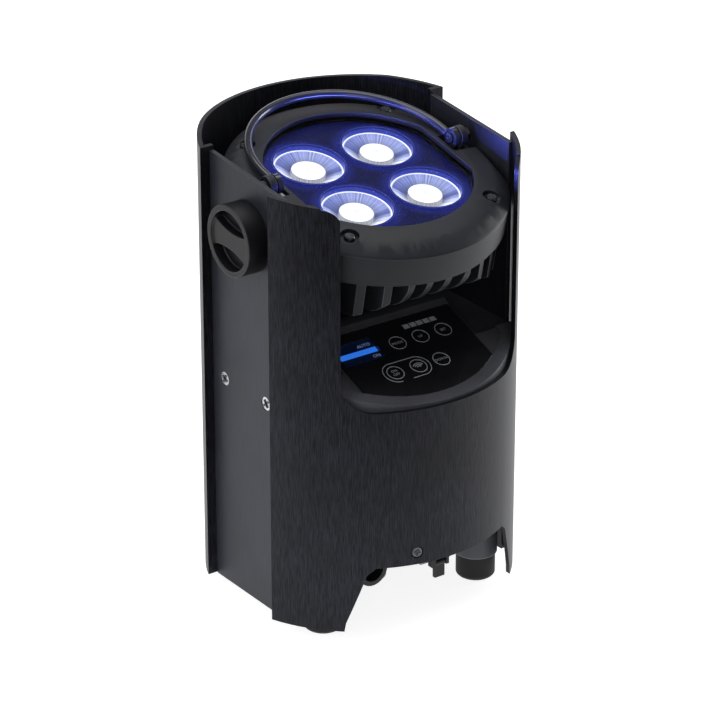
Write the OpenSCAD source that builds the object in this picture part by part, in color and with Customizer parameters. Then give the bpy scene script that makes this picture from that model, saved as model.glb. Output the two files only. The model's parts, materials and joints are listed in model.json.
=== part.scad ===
// Battery par can light: a tilting four lamp head inside an upright cylindrical housing.
// Millimetres. Origin on the floor under the middle of the housing, +Z up, the window faces -Y.

/* [Housing] */
// Outside radius of the curved front and rear shells
shell_r = 85; // [75:1:95]
// Wall thickness of the shells and side plates
shell_t = 2.5; // [2:0.5:4]
// Half width across the flat side plates, outside
side_x = 73; // [70:0.5:76]
// Height of the lower edge of the shells above the floor
skirt_z = 9; // [6:1:14]
// Height of the rear shell at its highest
rear_top_z = 262; // [258:1:268]
// Height of the sloping front and side edges above the middle of the housing
rim_z = 256; // [250:0.5:258]
// Slope of the upper edges towards the front
rim_slope = 5.2; // [0:0.2:10]

/* [Window and arch] */
// Half width of the U shaped window
window_x = 57; // [50:1:60]
// Height of the lower edge of the window
window_z = 137; // [130:1:145]
// Radius of the lower corners of the window
window_r = 16; // [10:1:20]
// Height of the arch between the two front legs
arch_z = 46.8; // [40:0.2:50]
// Half width of the arch at its top
arch_x = 46; // [40:1:50]

/* [Head] */
// Height of the tilt axis above the floor
pivot_z = 221; // [216:0.5:226]
// Position of the tilt axis towards the back
pivot_y = -4; // [-8:0.5:0]
// Forward tilt of the head as stored
head_tilt = 12; // [0:1:45]
// Outside radius of the head
head_r = 76; // [72:0.5:78]
// Half width of the head across its flat sides
head_x = 67; // [64:0.5:68]
// Radius of the glass opening
glass_r = 56; // [52:0.5:58]
// Half width of the glass opening across its flat sides
glass_x = 51; // [48:0.5:54]
// Half the spacing of the four lenses
lens_s = 22.2; // [20:0.2:24]
// Radius of one lens
lens_r = 18.8; // [16:0.2:20]
// Spacing of the cooling fins
fin_pitch = 12.1; // [10:0.1:13]
// Thickness of one cooling fin
fin_t = 4; // [2:0.5:5]

/* [Knobs and handle] */
// Radius of a clamp knob
knob_r = 19.4; // [16:0.2:24]
// Outer face of a clamp knob, from the middle
knob_x = 86; // [84:0.5:92]
// Depth of the two finger recesses in a clamp knob
knob_cup = 6.2; // [5:0.2:9]
// Half width of the carrying handle, to the middle of the rod
handle_x = 58; // [54:0.5:60]
// Length of the straight part of each handle leg
handle_leg = 9; // [5:1:16]
// Radius of the handle rod
rod_r = 2.3; // [1.8:0.1:3]

/* [Base] */
// Underside of the base plate
base_z = 47; // [44:0.5:50]
// Sideways position of the feet
foot_x = 51.5; // [46:0.5:54]
// Front to back position of the feet
foot_y = 38.7; // [32:0.1:42]
// Radius of a rubber foot
foot_r = 10.9; // [9:0.1:13]
// Height of a rubber foot
foot_h = 14.4; // [8:0.2:16]

/* [Hidden] */
$fn = 96;
inner_r = shell_r - shell_t;
inner_x = side_x - shell_t;
front_end_y = -30.5;
rear_end_y = 31.7;
case_r = inner_r - 0.2;
case_x = inner_x - 0.2;
panel_tilt = 20;
panel_y = -80;
panel_z = 139;
ridge_y = -19;
ridge_z = panel_z + (ridge_y - panel_y) * tan(panel_tilt);
hinge_v = 3.5;
hinge_h = 25.6;
key_pitch = 15;
key_low = 25;
key_high = 44.3;

// Places its children in the frame of the tilting head, whose origin is on the tilt axis.
module in_head() {
    translate([0, pivot_y, pivot_z])
        rotate([head_tilt, 0, 0])
            children();
}

// Places its children on the sloping control panel, x across and y up the slope.
module on_panel() {
    translate([0, panel_y, panel_z])
        rotate([panel_tilt, 0, 0])
            children();
}

// A countersunk or pan head screw pointing down, its head on top at the origin.
module screw(head_radius, head_height, shank_radius, shank_length) {
    difference() {
        union() {
            translate([0, 0, -head_height])
                cylinder(r = head_radius, h = head_height, $fn = 48);
            translate([0, 0, -head_height - shank_length])
                cylinder(r = shank_radius, h = shank_length + 0.1, $fn = 48);
        }
        for (turn = [0, 90])
            rotate([0, 0, turn])
                translate([-head_radius * 0.62, -head_radius * 0.13, -head_height * 0.55])
                    cube([head_radius * 1.24, head_radius * 0.26, head_height]);
    }
}

// The block above a sloping upper edge, lifted by a given amount, used to trim the shells.
module above_rim(lift) {
    translate([0, 0, rim_z + lift])
        rotate([rim_slope, 0, 0])
            translate([-120, -120, 0])
                cube([240, 240, 60]);
}

// The plan of the inner case: a disc with two flat sides.
module case_block(radius, half_x, low, high) {
    intersection() {
        translate([0, 0, low])
            cylinder(r = radius, h = high - low, $fn = 180);
        translate([-half_x, -radius - 1, low - 1])
            cube([2 * half_x, 2 * radius + 2, high - low + 2]);
    }
}

// A disc of the head with its two flat sides, from one height to another.
module head_block(radius, half_x, low, high) {
    case_block(radius, half_x, low, high);
}

// The cut that makes the U shaped window, open at the top.
module window_cut() {
    translate([-window_x + window_r, -100, window_z])
        cube([2 * (window_x - window_r), 100, 150]);
    translate([-window_x, -100, window_z + window_r])
        cube([2 * window_x, 100, 150]);
    for (side = [-1, 1])
        translate([side * (window_x - window_r), 0, window_z + window_r])
            rotate([90, 0, 0])
                cylinder(r = window_r, h = 100, $fn = 96);
}

// The cut that rounds the two free upper corners of the window.
module window_shoulders() {
    for (side = [-1, 1])
        difference() {
            translate([side > 0 ? window_x - 0.1 : -window_x - 7, -100, 243.2])
                cube([7.1, 100, 12]);
            translate([side * (window_x + 7), 1, 243.2])
                rotate([90, 0, 0])
                    cylinder(r = 7, h = 102, $fn = 96);
        }
}

// The cut that makes the arch and leaves two tapering legs.
module arch_cut() {
    rotate([90, 0, 0])
        linear_extrude(height = 100)
            polygon([
                [-arch_x - 11, -1], [-arch_x - 9, skirt_z + 5], [-arch_x, arch_z - 4],
                [-arch_x + 4, arch_z], [arch_x - 4, arch_z], [arch_x, arch_z - 4],
                [arch_x + 9, skirt_z + 5], [arch_x + 11, -1]
            ]);
}

// Curved front sheet with the window above and the arch below.
module front_shell() {
    color([0.07, 0.07, 0.08])
        difference() {
            translate([0, 0, skirt_z])
                cylinder(r = shell_r, h = 260, $fn = 240);
            translate([0, 0, skirt_z - 1])
                cylinder(r = inner_r, h = 262, $fn = 240);
            translate([-120, front_end_y, 0])
                cube([240, 240, 280]);
            window_cut();
            window_shoulders();
            arch_cut();
            above_rim(0);
            // clearance hole of the front screw
            rotate([0, 0, -14.4])
                translate([0, -shell_r + 4, 53.8])
                    rotate([90, 0, 0])
                        cylinder(r = 1.7, h = 10, $fn = 48);
            // countersink of the front screw
            rotate([0, 0, -14.4])
                translate([0, -shell_r + 1.7, 53.8])
                    rotate([90, 0, 0])
                        cylinder(r = 3.4, h = 10, $fn = 48);
        }
}

// Curved rear sheet, closed all round, with a lip turned in at each upright edge.
module rear_shell() {
    color([0.07, 0.07, 0.08])
        difference() {
            union() {
                difference() {
                    translate([0, 0, skirt_z])
                        cylinder(r = shell_r, h = 260, $fn = 240);
                    translate([0, 0, skirt_z - 1])
                        cylinder(r = inner_r, h = 262, $fn = 240);
                }
                // lips that the side plates butt against
                for (side = [-1, 1])
                    translate([side > 0 ? inner_x : -77, rear_end_y, skirt_z])
                        cube([77 - inner_x, shell_t, 260]);
            }
            translate([-120, rear_end_y - 240, 0])
                cube([240, 240, 290]);
            above_rim(0.6);
            translate([-120, -120, rear_top_z])
                cube([240, 240, 60]);
            for (turn = [-22, 22])
                rotate([0, 0, 180 + turn])
                    translate([0, -shell_r + 4, 62])
                        rotate([90, 0, 0])
                            cylinder(r = 1.7, h = 10, $fn = 48);
            for (turn = [-22, 22])
                rotate([0, 0, 180 + turn])
                    translate([0, -shell_r + 1.7, 62])
                        rotate([90, 0, 0])
                            cylinder(r = 3.4, h = 10, $fn = 48);
        }
}

// One flat side plate, drawn for the right hand side.
module side_plate() {
    difference() {
        translate([inner_x, -37.5, skirt_z - 0.5])
            cube([shell_t, 37.5 + rear_end_y, 250]);
        above_rim(-1.8);
        // hole the tilt boss turns in
        translate([inner_x - 1, pivot_y, pivot_z])
            rotate([0, 90, 0])
                cylinder(r = 8.06, h = 5, $fn = 96);
        // two countersunk screw holes
        for (screw_y = [21.2, -17.5]) {
            translate([inner_x - 1, screw_y, 130])
                rotate([0, 90, 0])
                    cylinder(r = 2.1, h = 5, $fn = 48);
            translate([side_x - 1.1, screw_y, 130])
                rotate([0, 90, 0])
                    cylinder(r = 3.95, h = 5, $fn = 48);
        }
    }
}

module side_plate_left() {
    color([0.10, 0.10, 0.11])
        mirror([1, 0, 0])
            side_plate();
}

module side_plate_right() {
    color([0.10, 0.10, 0.11])
        side_plate();
}

// Four bright cross head screws, two in each side plate.
module plate_screws() {
    color([0.75, 0.75, 0.76])
        for (side = [0, 1])
            mirror([side, 0, 0])
                for (screw_y = [21.2, -17.5])
                    translate([side_x - 0.1, screw_y, 130])
                        rotate([0, 90, 0])
                            screw(3.75, 1, 1.95, 7);
}

// Three small black screws through the curved shells into the control housing.
module shell_screws() {
    color([0.12, 0.12, 0.12]) {
        rotate([0, 0, -14.4])
            translate([0, -shell_r + 0.3, 53.8])
                rotate([90, 0, 0])
                    screw(3.2, 1.3, 1.55, 6);
        for (turn = [-22, 22])
            rotate([0, 0, 180 + turn])
                translate([0, -shell_r + 0.3, 62])
                    rotate([90, 0, 0])
                        screw(3.2, 1.3, 1.55, 6);
    }
}

// The solid under the sloping panel, its ridge and the low rear deck.
module case_top(lift) {
    rotate([90, 0, 90])
        translate([0, 0, -100])
            linear_extrude(height = 200)
                polygon([
                    [-120, 0], [120, 0], [120, 148 + lift], [4, 148 + lift],
                    [-8, ridge_z + 0.4 + lift], [-13, ridge_z + 1.4 + lift],
                    [ridge_y, ridge_z + 0.8 + lift], [ridge_y - 2, ridge_z - 0.73 + lift],
                    [-120, panel_z - 40 * tan(panel_tilt) + lift]
                ]);
}

// Moulded housing that carries the panel and closes the battery space.
module control_housing() {
    color([0.16, 0.16, 0.17])
        difference() {
            intersection() {
                case_block(case_r, case_x, base_z + 3, 170);
                case_top(0);
            }
            // battery and electronics space, with posts left for the base screws
            difference() {
                intersection() {
                    case_block(case_r - 3, case_x - 3, base_z + 2, 170);
                    case_top(-3.2);
                    union() {
                        translate([-40, -120, 0])
                            cube([80, 240, 200]);
                        translate([-120, -120, 0])
                            cube([240, 71, 200]);
                        translate([-120, -120, 0])
                            cube([240, 240, 144.8]);
                    }
                }
                for (side = [-1, 1])
                    for (end = [-1, 1])
                        translate([side * 33, end * 66, base_z])
                            cylinder(r = 6, h = 20, $fn = 64);
            }
            for (side = [-1, 1])
                for (end = [-1, 1])
                    translate([side * 33, end * 66, base_z])
                        cylinder(r = 1.75, h = 17, $fn = 48);
            // pocket for the overlay
            intersection() {
                case_block(76, 57, 120, 180);
                on_panel()
                    translate([-70, 0, -1.2])
                        cube([140, 61, 20]);
            }
            // lower shoulders on each side of the panel
            for (side = [-1, 1])
                translate([side > 0 ? 43 : -78, -46, 148])
                    cube([35, 60, 30]);
            // opening under the display
            on_panel()
                translate([-41.5, 36, -5])
                    cube([29, 20, 10]);
            // threaded holes of the plate screws
            for (side = [-1, 1])
                for (screw_y = [21.2, -17.5])
                    translate([side * (case_x - 10), screw_y, 130])
                        rotate([0, side * 90, 0])
                            cylinder(r = 2.0, h = 20, $fn = 48);
            // threaded holes of the shell screws
            rotate([0, 0, -14.4])
                translate([0, -70, 53.8])
                    rotate([90, 0, 0])
                        cylinder(r = 1.6, h = 20, $fn = 48);
            for (turn = [-22, 22])
                rotate([0, 0, 180 + turn])
                    translate([0, -70, 62])
                        rotate([90, 0, 0])
                            cylinder(r = 1.6, h = 20, $fn = 48);
        }
}

// Glossy black sheet over the panel with a hole for the display.
module panel_overlay() {
    color([0.02, 0.02, 0.02])
        difference() {
            intersection() {
                case_block(75.9, 41.8, 120, 180);
                on_panel()
                    translate([-70, 0, -1.15])
                        cube([140, 60.9, 1.15]);
            }
            on_panel()
                translate([-39.5, 38, -5])
                    cube([25, 16, 10]);
        }
}

// Clear window set in the overlay.
module display_glass() {
    color([0.55, 0.62, 0.70])
        on_panel()
            translate([-39.45, 38.05, -1.1])
                cube([24.9, 15.9, 1.0]);
}

// Liquid crystal display below the clear window.
module display_module() {
    color([0.05, 0.20, 0.55])
        on_panel()
            translate([-41.3, 36.2, -4.6])
                cube([28.6, 19.6, 3.3]);
}

// One printed ring, thin enough to be only a raised ink line.
module ring_mark(radius, width) {
    difference() {
        cylinder(r = radius, h = 0.16, $fn = 64);
        translate([0, 0, -0.5])
            cylinder(r = radius - width, h = 1.2, $fn = 64);
    }
}

// Printed rings of the six touch keys and the long outline round two of them.
module key_marks() {
    color([0.8, 0.82, 0.84])
        on_panel()
            translate([0, 0, 0.01]) {
                for (column = [0, 1, 2])
                    translate([-2.4 + column * key_pitch, key_high, 0])
                        ring_mark(4.9, 0.45);
                for (column = [-1, 0, 1])
                    translate([-2.1 + column * key_pitch, key_low, 0])
                        ring_mark(4.9, 0.45);
                // long outline, open on its front side
                difference() {
                    union() {
                        for (column = [-1, 0])
                            translate([-2.1 + column * key_pitch, key_low, 0])
                                cylinder(r = 7.2, h = 0.16, $fn = 64);
                        translate([-2.1 - key_pitch, key_low - 7.2, 0])
                            cube([key_pitch, 14.4, 0.16]);
                    }
                    translate([0, 0, -0.5])
                        for (column = [-1, 0])
                            translate([-2.1 + column * key_pitch, key_low, 0])
                                cylinder(r = 6.8, h = 1.2, $fn = 64);
                    translate([-2.1 - key_pitch, key_low - 6.8, -0.5])
                        cube([key_pitch, 13.6, 1.2]);
                    translate([-17, key_low - 9, -0.5])
                        cube([7, 4, 1.2]);
                }
            }
}

// Circuit board under the panel with its connectors.
module control_board() {
    color([0.05, 0.25, 0.12])
        on_panel() {
            translate([-39, 16, -9.6])
                cube([78, 40, 1.6]);
            translate([-38, 22, -13.6])
                cube([18, 8, 4.1]);
            translate([8, 24, -12.1])
                cube([14, 14, 2.6]);
            for (post_x = [-35, 35])
                translate([post_x, 32, -8.1])
                    cylinder(r = 3, h = 3.4, $fn = 48);
        }
}

// Wrapped rechargeable pack standing on the base plate.
module battery_pack() {
    color([0.12, 0.22, 0.42])
        difference() {
            translate([-55, -34, base_z + 3.1])
                cube([110, 62, 66]);
            // shallow wrap seams between the cells
            for (column = [1, 2, 3, 4])
                translate([-55 + column * 22 - 0.5, -35, base_z + 2])
                    cube([1, 1.8, 80]);
            for (column = [1, 2, 3, 4])
                translate([-55 + column * 22 - 0.5, 27.2, base_z + 2])
                    cube([1, 1.8, 80]);
        }
}

// Two folded steel straps that hold the pack down.
module battery_straps() {
    color([0.6, 0.6, 0.62])
        for (strap_x = [-30, 30])
            difference() {
                translate([strap_x - 7, -44, base_z + 3])
                    cube([14, 82, 67.8]);
                translate([strap_x - 8, -34.1, base_z + 1])
                    cube([16, 62.2, 68.2]);
                translate([strap_x - 8, -46, base_z + 4.6])
                    cube([16, 10.4, 80]);
                translate([strap_x - 8, 29.6, base_z + 4.6])
                    cube([16, 10.4, 80]);
            }
}

// Power board for the lamps, upright behind the battery.
module driver_board() {
    color([0.05, 0.25, 0.12]) {
        translate([-45, 44, base_z + 8])
            cube([90, 1.6, 62]);
        translate([-38, 45.6, base_z + 14])
            cube([24, 14, 22]);
        translate([-6, 45.6, base_z + 14])
            cube([12, 12, 30]);
        translate([18, 45.6, base_z + 16])
            cube([20, 10, 16]);
        for (foot_at = [-40, 34])
            translate([foot_at, 41, base_z + 3])
                cube([6, 8, 5.1]);
    }
}

// Radio receiver with a short flat aerial.
module radio_module() {
    color([0.7, 0.7, 0.72]) {
        translate([-12, -62, base_z + 3])
            cube([26, 14, 5]);
        translate([-8, -60, base_z + 7.9])
            cube([18, 1.2, 30]);
    }
}

// Flat plate that closes the case from below.
module base_plate() {
    color([0.20, 0.20, 0.21])
        difference() {
            case_block(case_r, case_x, base_z, base_z + 3);
            for (side = [-1, 1])
                for (end = [-1, 1])
                    translate([side * foot_x, end * foot_y, base_z - 1])
                        cylinder(r = 2.6, h = 6, $fn = 48);
            for (side = [-1, 1])
                for (end = [-1, 1])
                    translate([side * 33, end * 66, base_z - 1])
                        cylinder(r = 1.8, h = 6, $fn = 48);
        }
}

// Four pan head screws under the base plate.
module base_screws() {
    color([0.12, 0.12, 0.12])
        for (side = [-1, 1])
            for (end = [-1, 1])
                translate([side * 33, end * 66, base_z - 2])
                    rotate([180, 0, 0])
                        screw(3.2, 2, 1.7, 14);
}

// Four black columns between the base plate and the rubber feet.
module foot_columns() {
    color([0.10, 0.10, 0.10])
        for (side = [-1, 1])
            for (end = [-1, 1])
                translate([side * foot_x, end * foot_y, 0])
                    difference() {
                        translate([0, 0, foot_h])
                            cylinder(r = foot_r + 1.1, h = base_z - foot_h, $fn = 96);
                        translate([0, 0, foot_h - 1])
                            cylinder(r = 2.6, h = base_z, $fn = 48);
                    }
}

// Four rubber feet with a bevelled lower edge and a recess for the screw.
module rubber_feet() {
    color([0.05, 0.05, 0.05])
        for (side = [-1, 1])
            for (end = [-1, 1])
                translate([side * foot_x, end * foot_y, 0])
                    rotate_extrude($fn = 96)
                        polygon([
                            [5, 0], [foot_r - 1.5, 0], [foot_r, 1.5],
                            [foot_r, foot_h], [2.6, foot_h], [2.6, 5], [5, 5]
                        ]);
}

// Four long screws from the feet up into the base plate.
module foot_screws() {
    color([0.7, 0.7, 0.72])
        for (side = [-1, 1])
            for (end = [-1, 1])
                translate([side * foot_x, end * foot_y, 2.2])
                    rotate([180, 0, 0])
                        screw(4.4, 2.8, 2.5, 44);
}

// Folded bracket below the base plate that holds the sockets facing the arch.
module connector_bracket() {
    color([0.08, 0.08, 0.08])
        difference() {
            union() {
                // front wall the sockets are set in
                translate([-40.5, -50, 30])
                    cube([79, 2, base_z - 30]);
                // two stiffening cheeks between the sockets
                for (cheek_x = [-20.5, 24])
                    translate([cheek_x, -50, 30])
                        cube([2, 32, base_z - 30]);
                // turned in edge against the base plate
                translate([-38.5, -50, base_z - 1.6])
                    cube([77, 32, 1.6]);
            }
            // socket openings, open below
            for (socket_x = [-31.4, 14])
                translate([socket_x - 8.2, -51, 29])
                    cube([16.4, 4, 14.6]);
            translate([-8.5, -40, 38.5])
                rotate([90, 0, 0])
                    cylinder(r = 5.6, h = 20, $fn = 64);
            translate([28.7, -51, 32.2])
                cube([7.6, 4, 11.6]);
        }
}

// Light grey flange of a mains socket, a plate with four rounded corners.
module socket_flange() {
    difference() {
        union() {
            translate([2.5, 0, 0])
                cube([19, 2, 20]);
            translate([0, 0, 2.5])
                cube([24, 2, 15]);
            for (corner_x = [2.5, 21.5])
                for (corner_z = [2.5, 17.5])
                    translate([corner_x, 2, corner_z])
                        rotate([90, 0, 0])
                            cylinder(r = 2.5, h = 2, $fn = 48);
        }
        translate([12, 3, 10])
            rotate([90, 0, 0])
                cylinder(r = 8.1, h = 4, $fn = 96);
        for (corner_x = [3, 21])
            for (corner_z = [3.2, 16.8])
                translate([corner_x, 3, corner_z])
                    rotate([90, 0, 0])
                        cylinder(r = 1.2, h = 4, $fn = 32);
    }
}

module inlet_flange() {
    color([0.62, 0.64, 0.66])
        translate([-43.4, -52.1, 25.3])
            socket_flange();
}

// Round black body of the mains inlet with three contact pins.
module inlet_body() {
    color([0.07, 0.07, 0.08])
        translate([-31.4, 0, 35.3]) {
            difference() {
                union() {
                    translate([0, -34, 0])
                        rotate([90, 0, 0])
                            cylinder(r = 8, h = 23, $fn = 96);
                    translate([0, -52.2, 0])
                        rotate([90, 0, 0])
                            cylinder(r = 9.3, h = 4.8, $fn = 96);
                }
                translate([0, -38, 0])
                    rotate([90, 0, 0])
                        cylinder(r = 6.6, h = 30, $fn = 96);
            }
            for (turn = [0, 120, 240])
                rotate([0, turn, 0])
                    translate([-0.8, -50, 2.4])
                        cube([1.6, 13, 2.4]);
        }
}

module outlet_flange() {
    color([0.62, 0.64, 0.66])
        translate([2, -52.1, 25.3])
            socket_flange();
}

// Round black body of the mains outlet, with two ears that carry its latch.
module outlet_body() {
    color([0.07, 0.07, 0.08])
        translate([14, 0, 35.3])
            difference() {
                union() {
                    translate([0, -34, 0])
                        rotate([90, 0, 0])
                            cylinder(r = 8, h = 23, $fn = 96);
                    translate([0, -52.2, 0])
                        rotate([90, 0, 0])
                            cylinder(r = 9.3, h = 4.8, $fn = 96);
                    for (side = [-1, 1])
                        translate([side * 4.6 - 1, -56.6, -11.6])
                            cube([2, 4.2, 6]);
                }
                translate([0, -56, 0])
                    rotate([90, 0, 0])
                        cylinder(r = 7.4, h = 10, $fn = 96);
                for (turn = [0, 120, 240])
                    rotate([0, turn, 0])
                        translate([-1, -58, 2.2])
                            cube([2, 16, 2.8]);
                // gap the latch swings in
                translate([-3.6, -60, -14])
                    cube([7.2, 7.6, 7]);
                // bore of the latch pin
                translate([-7, -54.6, -9.9])
                    rotate([0, 90, 0])
                        cylinder(r = 0.85, h = 14, $fn = 48);
            }
}

// Hanging release latch of the outlet.
module outlet_latch() {
    color([0.05, 0.05, 0.05])
        translate([14, -54.6, 25.4]) {
            translate([-3.3, -1.2, -8.6])
                cube([6.6, 2.4, 8.6]);
            rotate([0, 90, 0])
                translate([0, 0, -3.3])
                    cylinder(r = 1.6, h = 6.6, $fn = 48);
            rotate([0, 90, 0])
                translate([0, 0, -5.4])
                    cylinder(r = 0.8, h = 10.8, $fn = 48);
        }
}

// Round data socket between the two mains sockets.
module data_socket() {
    color([0.72, 0.72, 0.74])
        translate([-8.5, -36, 38.5])
            rotate([90, 0, 0])
                difference() {
                    union() {
                        cylinder(r = 5.5, h = 15.6, $fn = 64);
                        translate([0, 0, 14.1])
                            cylinder(r = 6.8, h = 1.5, $fn = 64);
                    }
                    translate([0, 0, 3])
                        cylinder(r = 4.4, h = 20, $fn = 64);
                }
}

// Frame the rocker switch turns in.
module switch_frame() {
    color([0.06, 0.06, 0.06])
        difference() {
            union() {
                translate([27.6, -51.6, 31.2])
                    cube([9.6, 1.5, 13.6]);
                translate([28.8, -50.2, 32.3])
                    cube([7.4, 12, 11.4]);
            }
            translate([29.7, -53, 33.2])
                cube([5.6, 13, 9.6]);
            translate([29.1, -47.6, 38])
                rotate([0, 90, 0])
                    cylinder(r = 0.85, h = 6.8, $fn = 48);
        }
}

// Rocker that turns on a small cross pin, its two faces meeting at a slight angle.
module switch_rocker() {
    color([0.09, 0.09, 0.09])
        translate([32.5, -47.6, 38]) {
            rotate([90, 0, 90])
                translate([0, 0, -2.6])
                    linear_extrude(height = 5.2)
                        polygon([
                            [1.6, -2.4], [1.6, 2.4], [-3.2, 3.8],
                            [-5.2, 3.8], [-4.2, 0], [-3.6, -4.1], [-3.2, -4.1]
                        ]);
            translate([-3.3, 0, 0])
                rotate([0, 90, 0])
                    cylinder(r = 0.8, h = 6.6, $fn = 48);
        }
}

// Cast body of the head: lamp plate, solid core and the two tilt bosses.
module heatsink() {
    color([0.14, 0.14, 0.15])
        in_head()
            difference() {
                union() {
                    // plate the lamps are bolted to
                    head_block(69, 65, -1, 4);
                    // thin flange that shows below the band
                    head_block(74.5, 65, -2, 0.6);
                    // solid middle
                    translate([0, 0, -25])
                        cylinder(r = 34, h = 24, $fn = 120);
                    // bosses on the tilt axis
                    for (side = [-1, 1])
                        translate([side * 60, 0, 0])
                            rotate([0, side * 90, 0])
                                cylinder(r = 12, h = 9.4, $fn = 96);
                    // journals that turn in the side plates
                    for (side = [-1, 1])
                        translate([side * 69, 0, 0])
                            rotate([0, side * 90, 0])
                                cylinder(r = 8, h = 3.8, $fn = 96);
                }
                // threaded bores for the knob studs
                for (side = [-1, 1])
                    translate([side * 50, 0, 0])
                        rotate([0, side * 90, 0])
                            cylinder(r = 3.05, h = 30, $fn = 64);
                // threaded holes of the bezel screws
                for (sx = [-1, 1])
                    for (sy = [-1, 1])
                        translate([sx * 45.6, sy * 48, -5])
                            cylinder(r = 1.6, h = 20, $fn = 48);
                // threaded holes of the back cover screws
                for (turn = [45, 135, 225, 315])
                    rotate([0, 0, turn])
                        translate([24, 0, -30])
                            cylinder(r = 1.6, h = 12, $fn = 48);
                // cable way from the lamps to the back
                translate([0, 0, -30])
                    cylinder(r = 5, h = 50, $fn = 64);
            }
}

// Parallel cooling fins under the lamp plate, rounded off at the front and rear to clear the panel.
module cooling_fins() {
    color([0.14, 0.14, 0.15])
        in_head()
            difference() {
                intersection() {
                    for (fin = [-4.5 : 1 : 4.5])
                        translate([fin * fin_pitch - fin_t / 2, -80, -25.8])
                            cube([fin_t, 160, 23.7]);
                    union() {
                        translate([-70, -45, -30])
                            cube([140, 90, 40]);
                        for (end = [-1, 1])
                            translate([-70, end * 45, 0])
                                rotate([0, 90, 0])
                                    cylinder(r = 26, h = 140, $fn = 120);
                    }
                    translate([0, 0, -30])
                        cylinder(r = 73, h = 40, $fn = 180);
                }
                // room for the core
                translate([0, 0, -40])
                    cylinder(r = 34.1, h = 60, $fn = 120);
                // room for the ends of the knob studs
                translate([-60, 0, 0])
                    rotate([0, 90, 0])
                        cylinder(r = 3.6, h = 120, $fn = 64);
            }
}

// Wide sloping ring with its upright band; it holds the glass.
module head_bezel() {
    color([0.16, 0.16, 0.17])
        in_head()
            difference() {
                intersection() {
                    rotate_extrude($fn = 180)
                        polygon([
                            [0, 0.8], [head_r, 0.8], [head_r, 15.2], [head_r - 1, 16.4],
                            [67.5, 21.6], [58.5, 22.6], [57, 22.8], [0, 22.8]
                        ]);
                    translate([-head_x, -100, 0])
                        cube([2 * head_x, 200, 50]);
                }
                // space for the lamp plate inside the band
                head_block(69.2, 65.2, 0, 12);
                // opening above the glass
                head_block(glass_r, glass_x, 5, 40);
                // seat of the glass
                head_block(glass_r + 2.5, glass_x + 2.5, 5, 20);
                // clearance round the tilt bosses
                for (side = [-1, 1])
                    translate([side * 60, 0, 0])
                        rotate([0, side * 90, 0])
                            cylinder(r = 12.4, h = 20, $fn = 96);
                // recesses of the four screws
                for (sx = [-1, 1])
                    for (sy = [-1, 1])
                        translate([sx * 45.6, sy * 48, 0]) {
                            cylinder(r = 1.9, h = 40, $fn = 48);
                            translate([0, 0, 19.4])
                                cylinder(r = 5, h = 20, $fn = 64);
                        }
                for (side = [-1, 1]) {
                    // shelf under each handle eye
                    translate([side > 0 ? 53.2 : -73.2, hinge_v - 8, 18.6])
                        cube([20, 16, 20]);
                    // slot for the foot of the handle bracket
                    translate([side * 61.5 - 2.1, hinge_v - 4.1, 14.9])
                        cube([4.2, 8.2, 20]);
                }
            }
}

// Four screws that hold the bezel to the head.
module bezel_screws() {
    color([0.30, 0.30, 0.31])
        in_head()
            for (sx = [-1, 1])
                for (sy = [-1, 1])
                    translate([sx * 45.6, sy * 48, 21.4])
                        screw(3, 2, 1.55, 19.5);
}

// Clear toughened pane.
module head_glass() {
    color([0.55, 0.65, 0.85])
        in_head()
            head_block(glass_r + 2.3, glass_x + 2.3, 18, 19.9);
}

// Rubber ring under the edge of the pane.
module glass_seal() {
    color([0.05, 0.05, 0.05])
        in_head()
            difference() {
                head_block(glass_r + 2.3, glass_x + 2.3, 16.6, 17.9);
                head_block(glass_r - 0.8, glass_x - 0.8, 10, 30);
            }
}

// Dark plate with four round openings for the lenses, each with a low collar.
module lens_plate() {
    color([0.03, 0.03, 0.08])
        in_head()
            difference() {
                union() {
                    head_block(glass_r + 2.3, glass_x + 2.3, 14.6, 16.5);
                    for (sx = [-1, 1])
                        for (sy = [-1, 1])
                            translate([sx * lens_s, sy * lens_s, 15])
                                cylinder(r = lens_r + 1.9, h = 2.6, $fn = 120);
                }
                for (sx = [-1, 1])
                    for (sy = [-1, 1])
                        translate([sx * lens_s, sy * lens_s, 5])
                            cylinder(r = lens_r + 0.3, h = 20, $fn = 120);
            }
}

// Four cone shaped optics, wide end at the front, with a groove round a domed middle.
module lenses() {
    color([0.85, 0.9, 1.0])
        in_head()
            for (sx = [-1, 1])
                for (sy = [-1, 1])
                    translate([sx * lens_s, sy * lens_s, 0])
                        rotate_extrude($fn = 120)
                            polygon([
                                [0, 8.4], [3.2, 8.4], [3.2, 7.4], [6.5, 7.4],
                                [lens_r - 1.2, 13], [lens_r, 13.4], [lens_r, 14.6],
                                [lens_r - 0.6, 14.6], [10, 10.9], [9.4, 12.4], [6, 12.8], [0, 13]
                            ]);
}

// Four collars that hold the optics over the chips.
module lens_holders() {
    color([0.10, 0.10, 0.12])
        in_head()
            for (sx = [-1, 1])
                for (sy = [-1, 1])
                    translate([sx * lens_s, sy * lens_s, 5.7])
                        difference() {
                            cylinder(r = 8.4, h = 1.6, $fn = 96);
                            translate([0, 0, -1])
                                cylinder(r = 7.4, h = 6, $fn = 96);
                        }
}

// Four square multi colour chips.
module led_chips() {
    color([0.95, 0.95, 1.0])
        in_head()
            for (sx = [-1, 1])
                for (sy = [-1, 1])
                    translate([sx * lens_s - 2, sy * lens_s - 2, 5.7])
                        cube([4, 4, 1.2]);
}

// Round metal core board under the chips.
module led_board() {
    color([0.85, 0.86, 0.84])
        in_head()
            difference() {
                translate([0, 0, 4.05])
                    cylinder(r = 46, h = 1.6, $fn = 120);
                translate([0, 0, 0])
                    cylinder(r = 5, h = 20, $fn = 64);
            }
}

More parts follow.
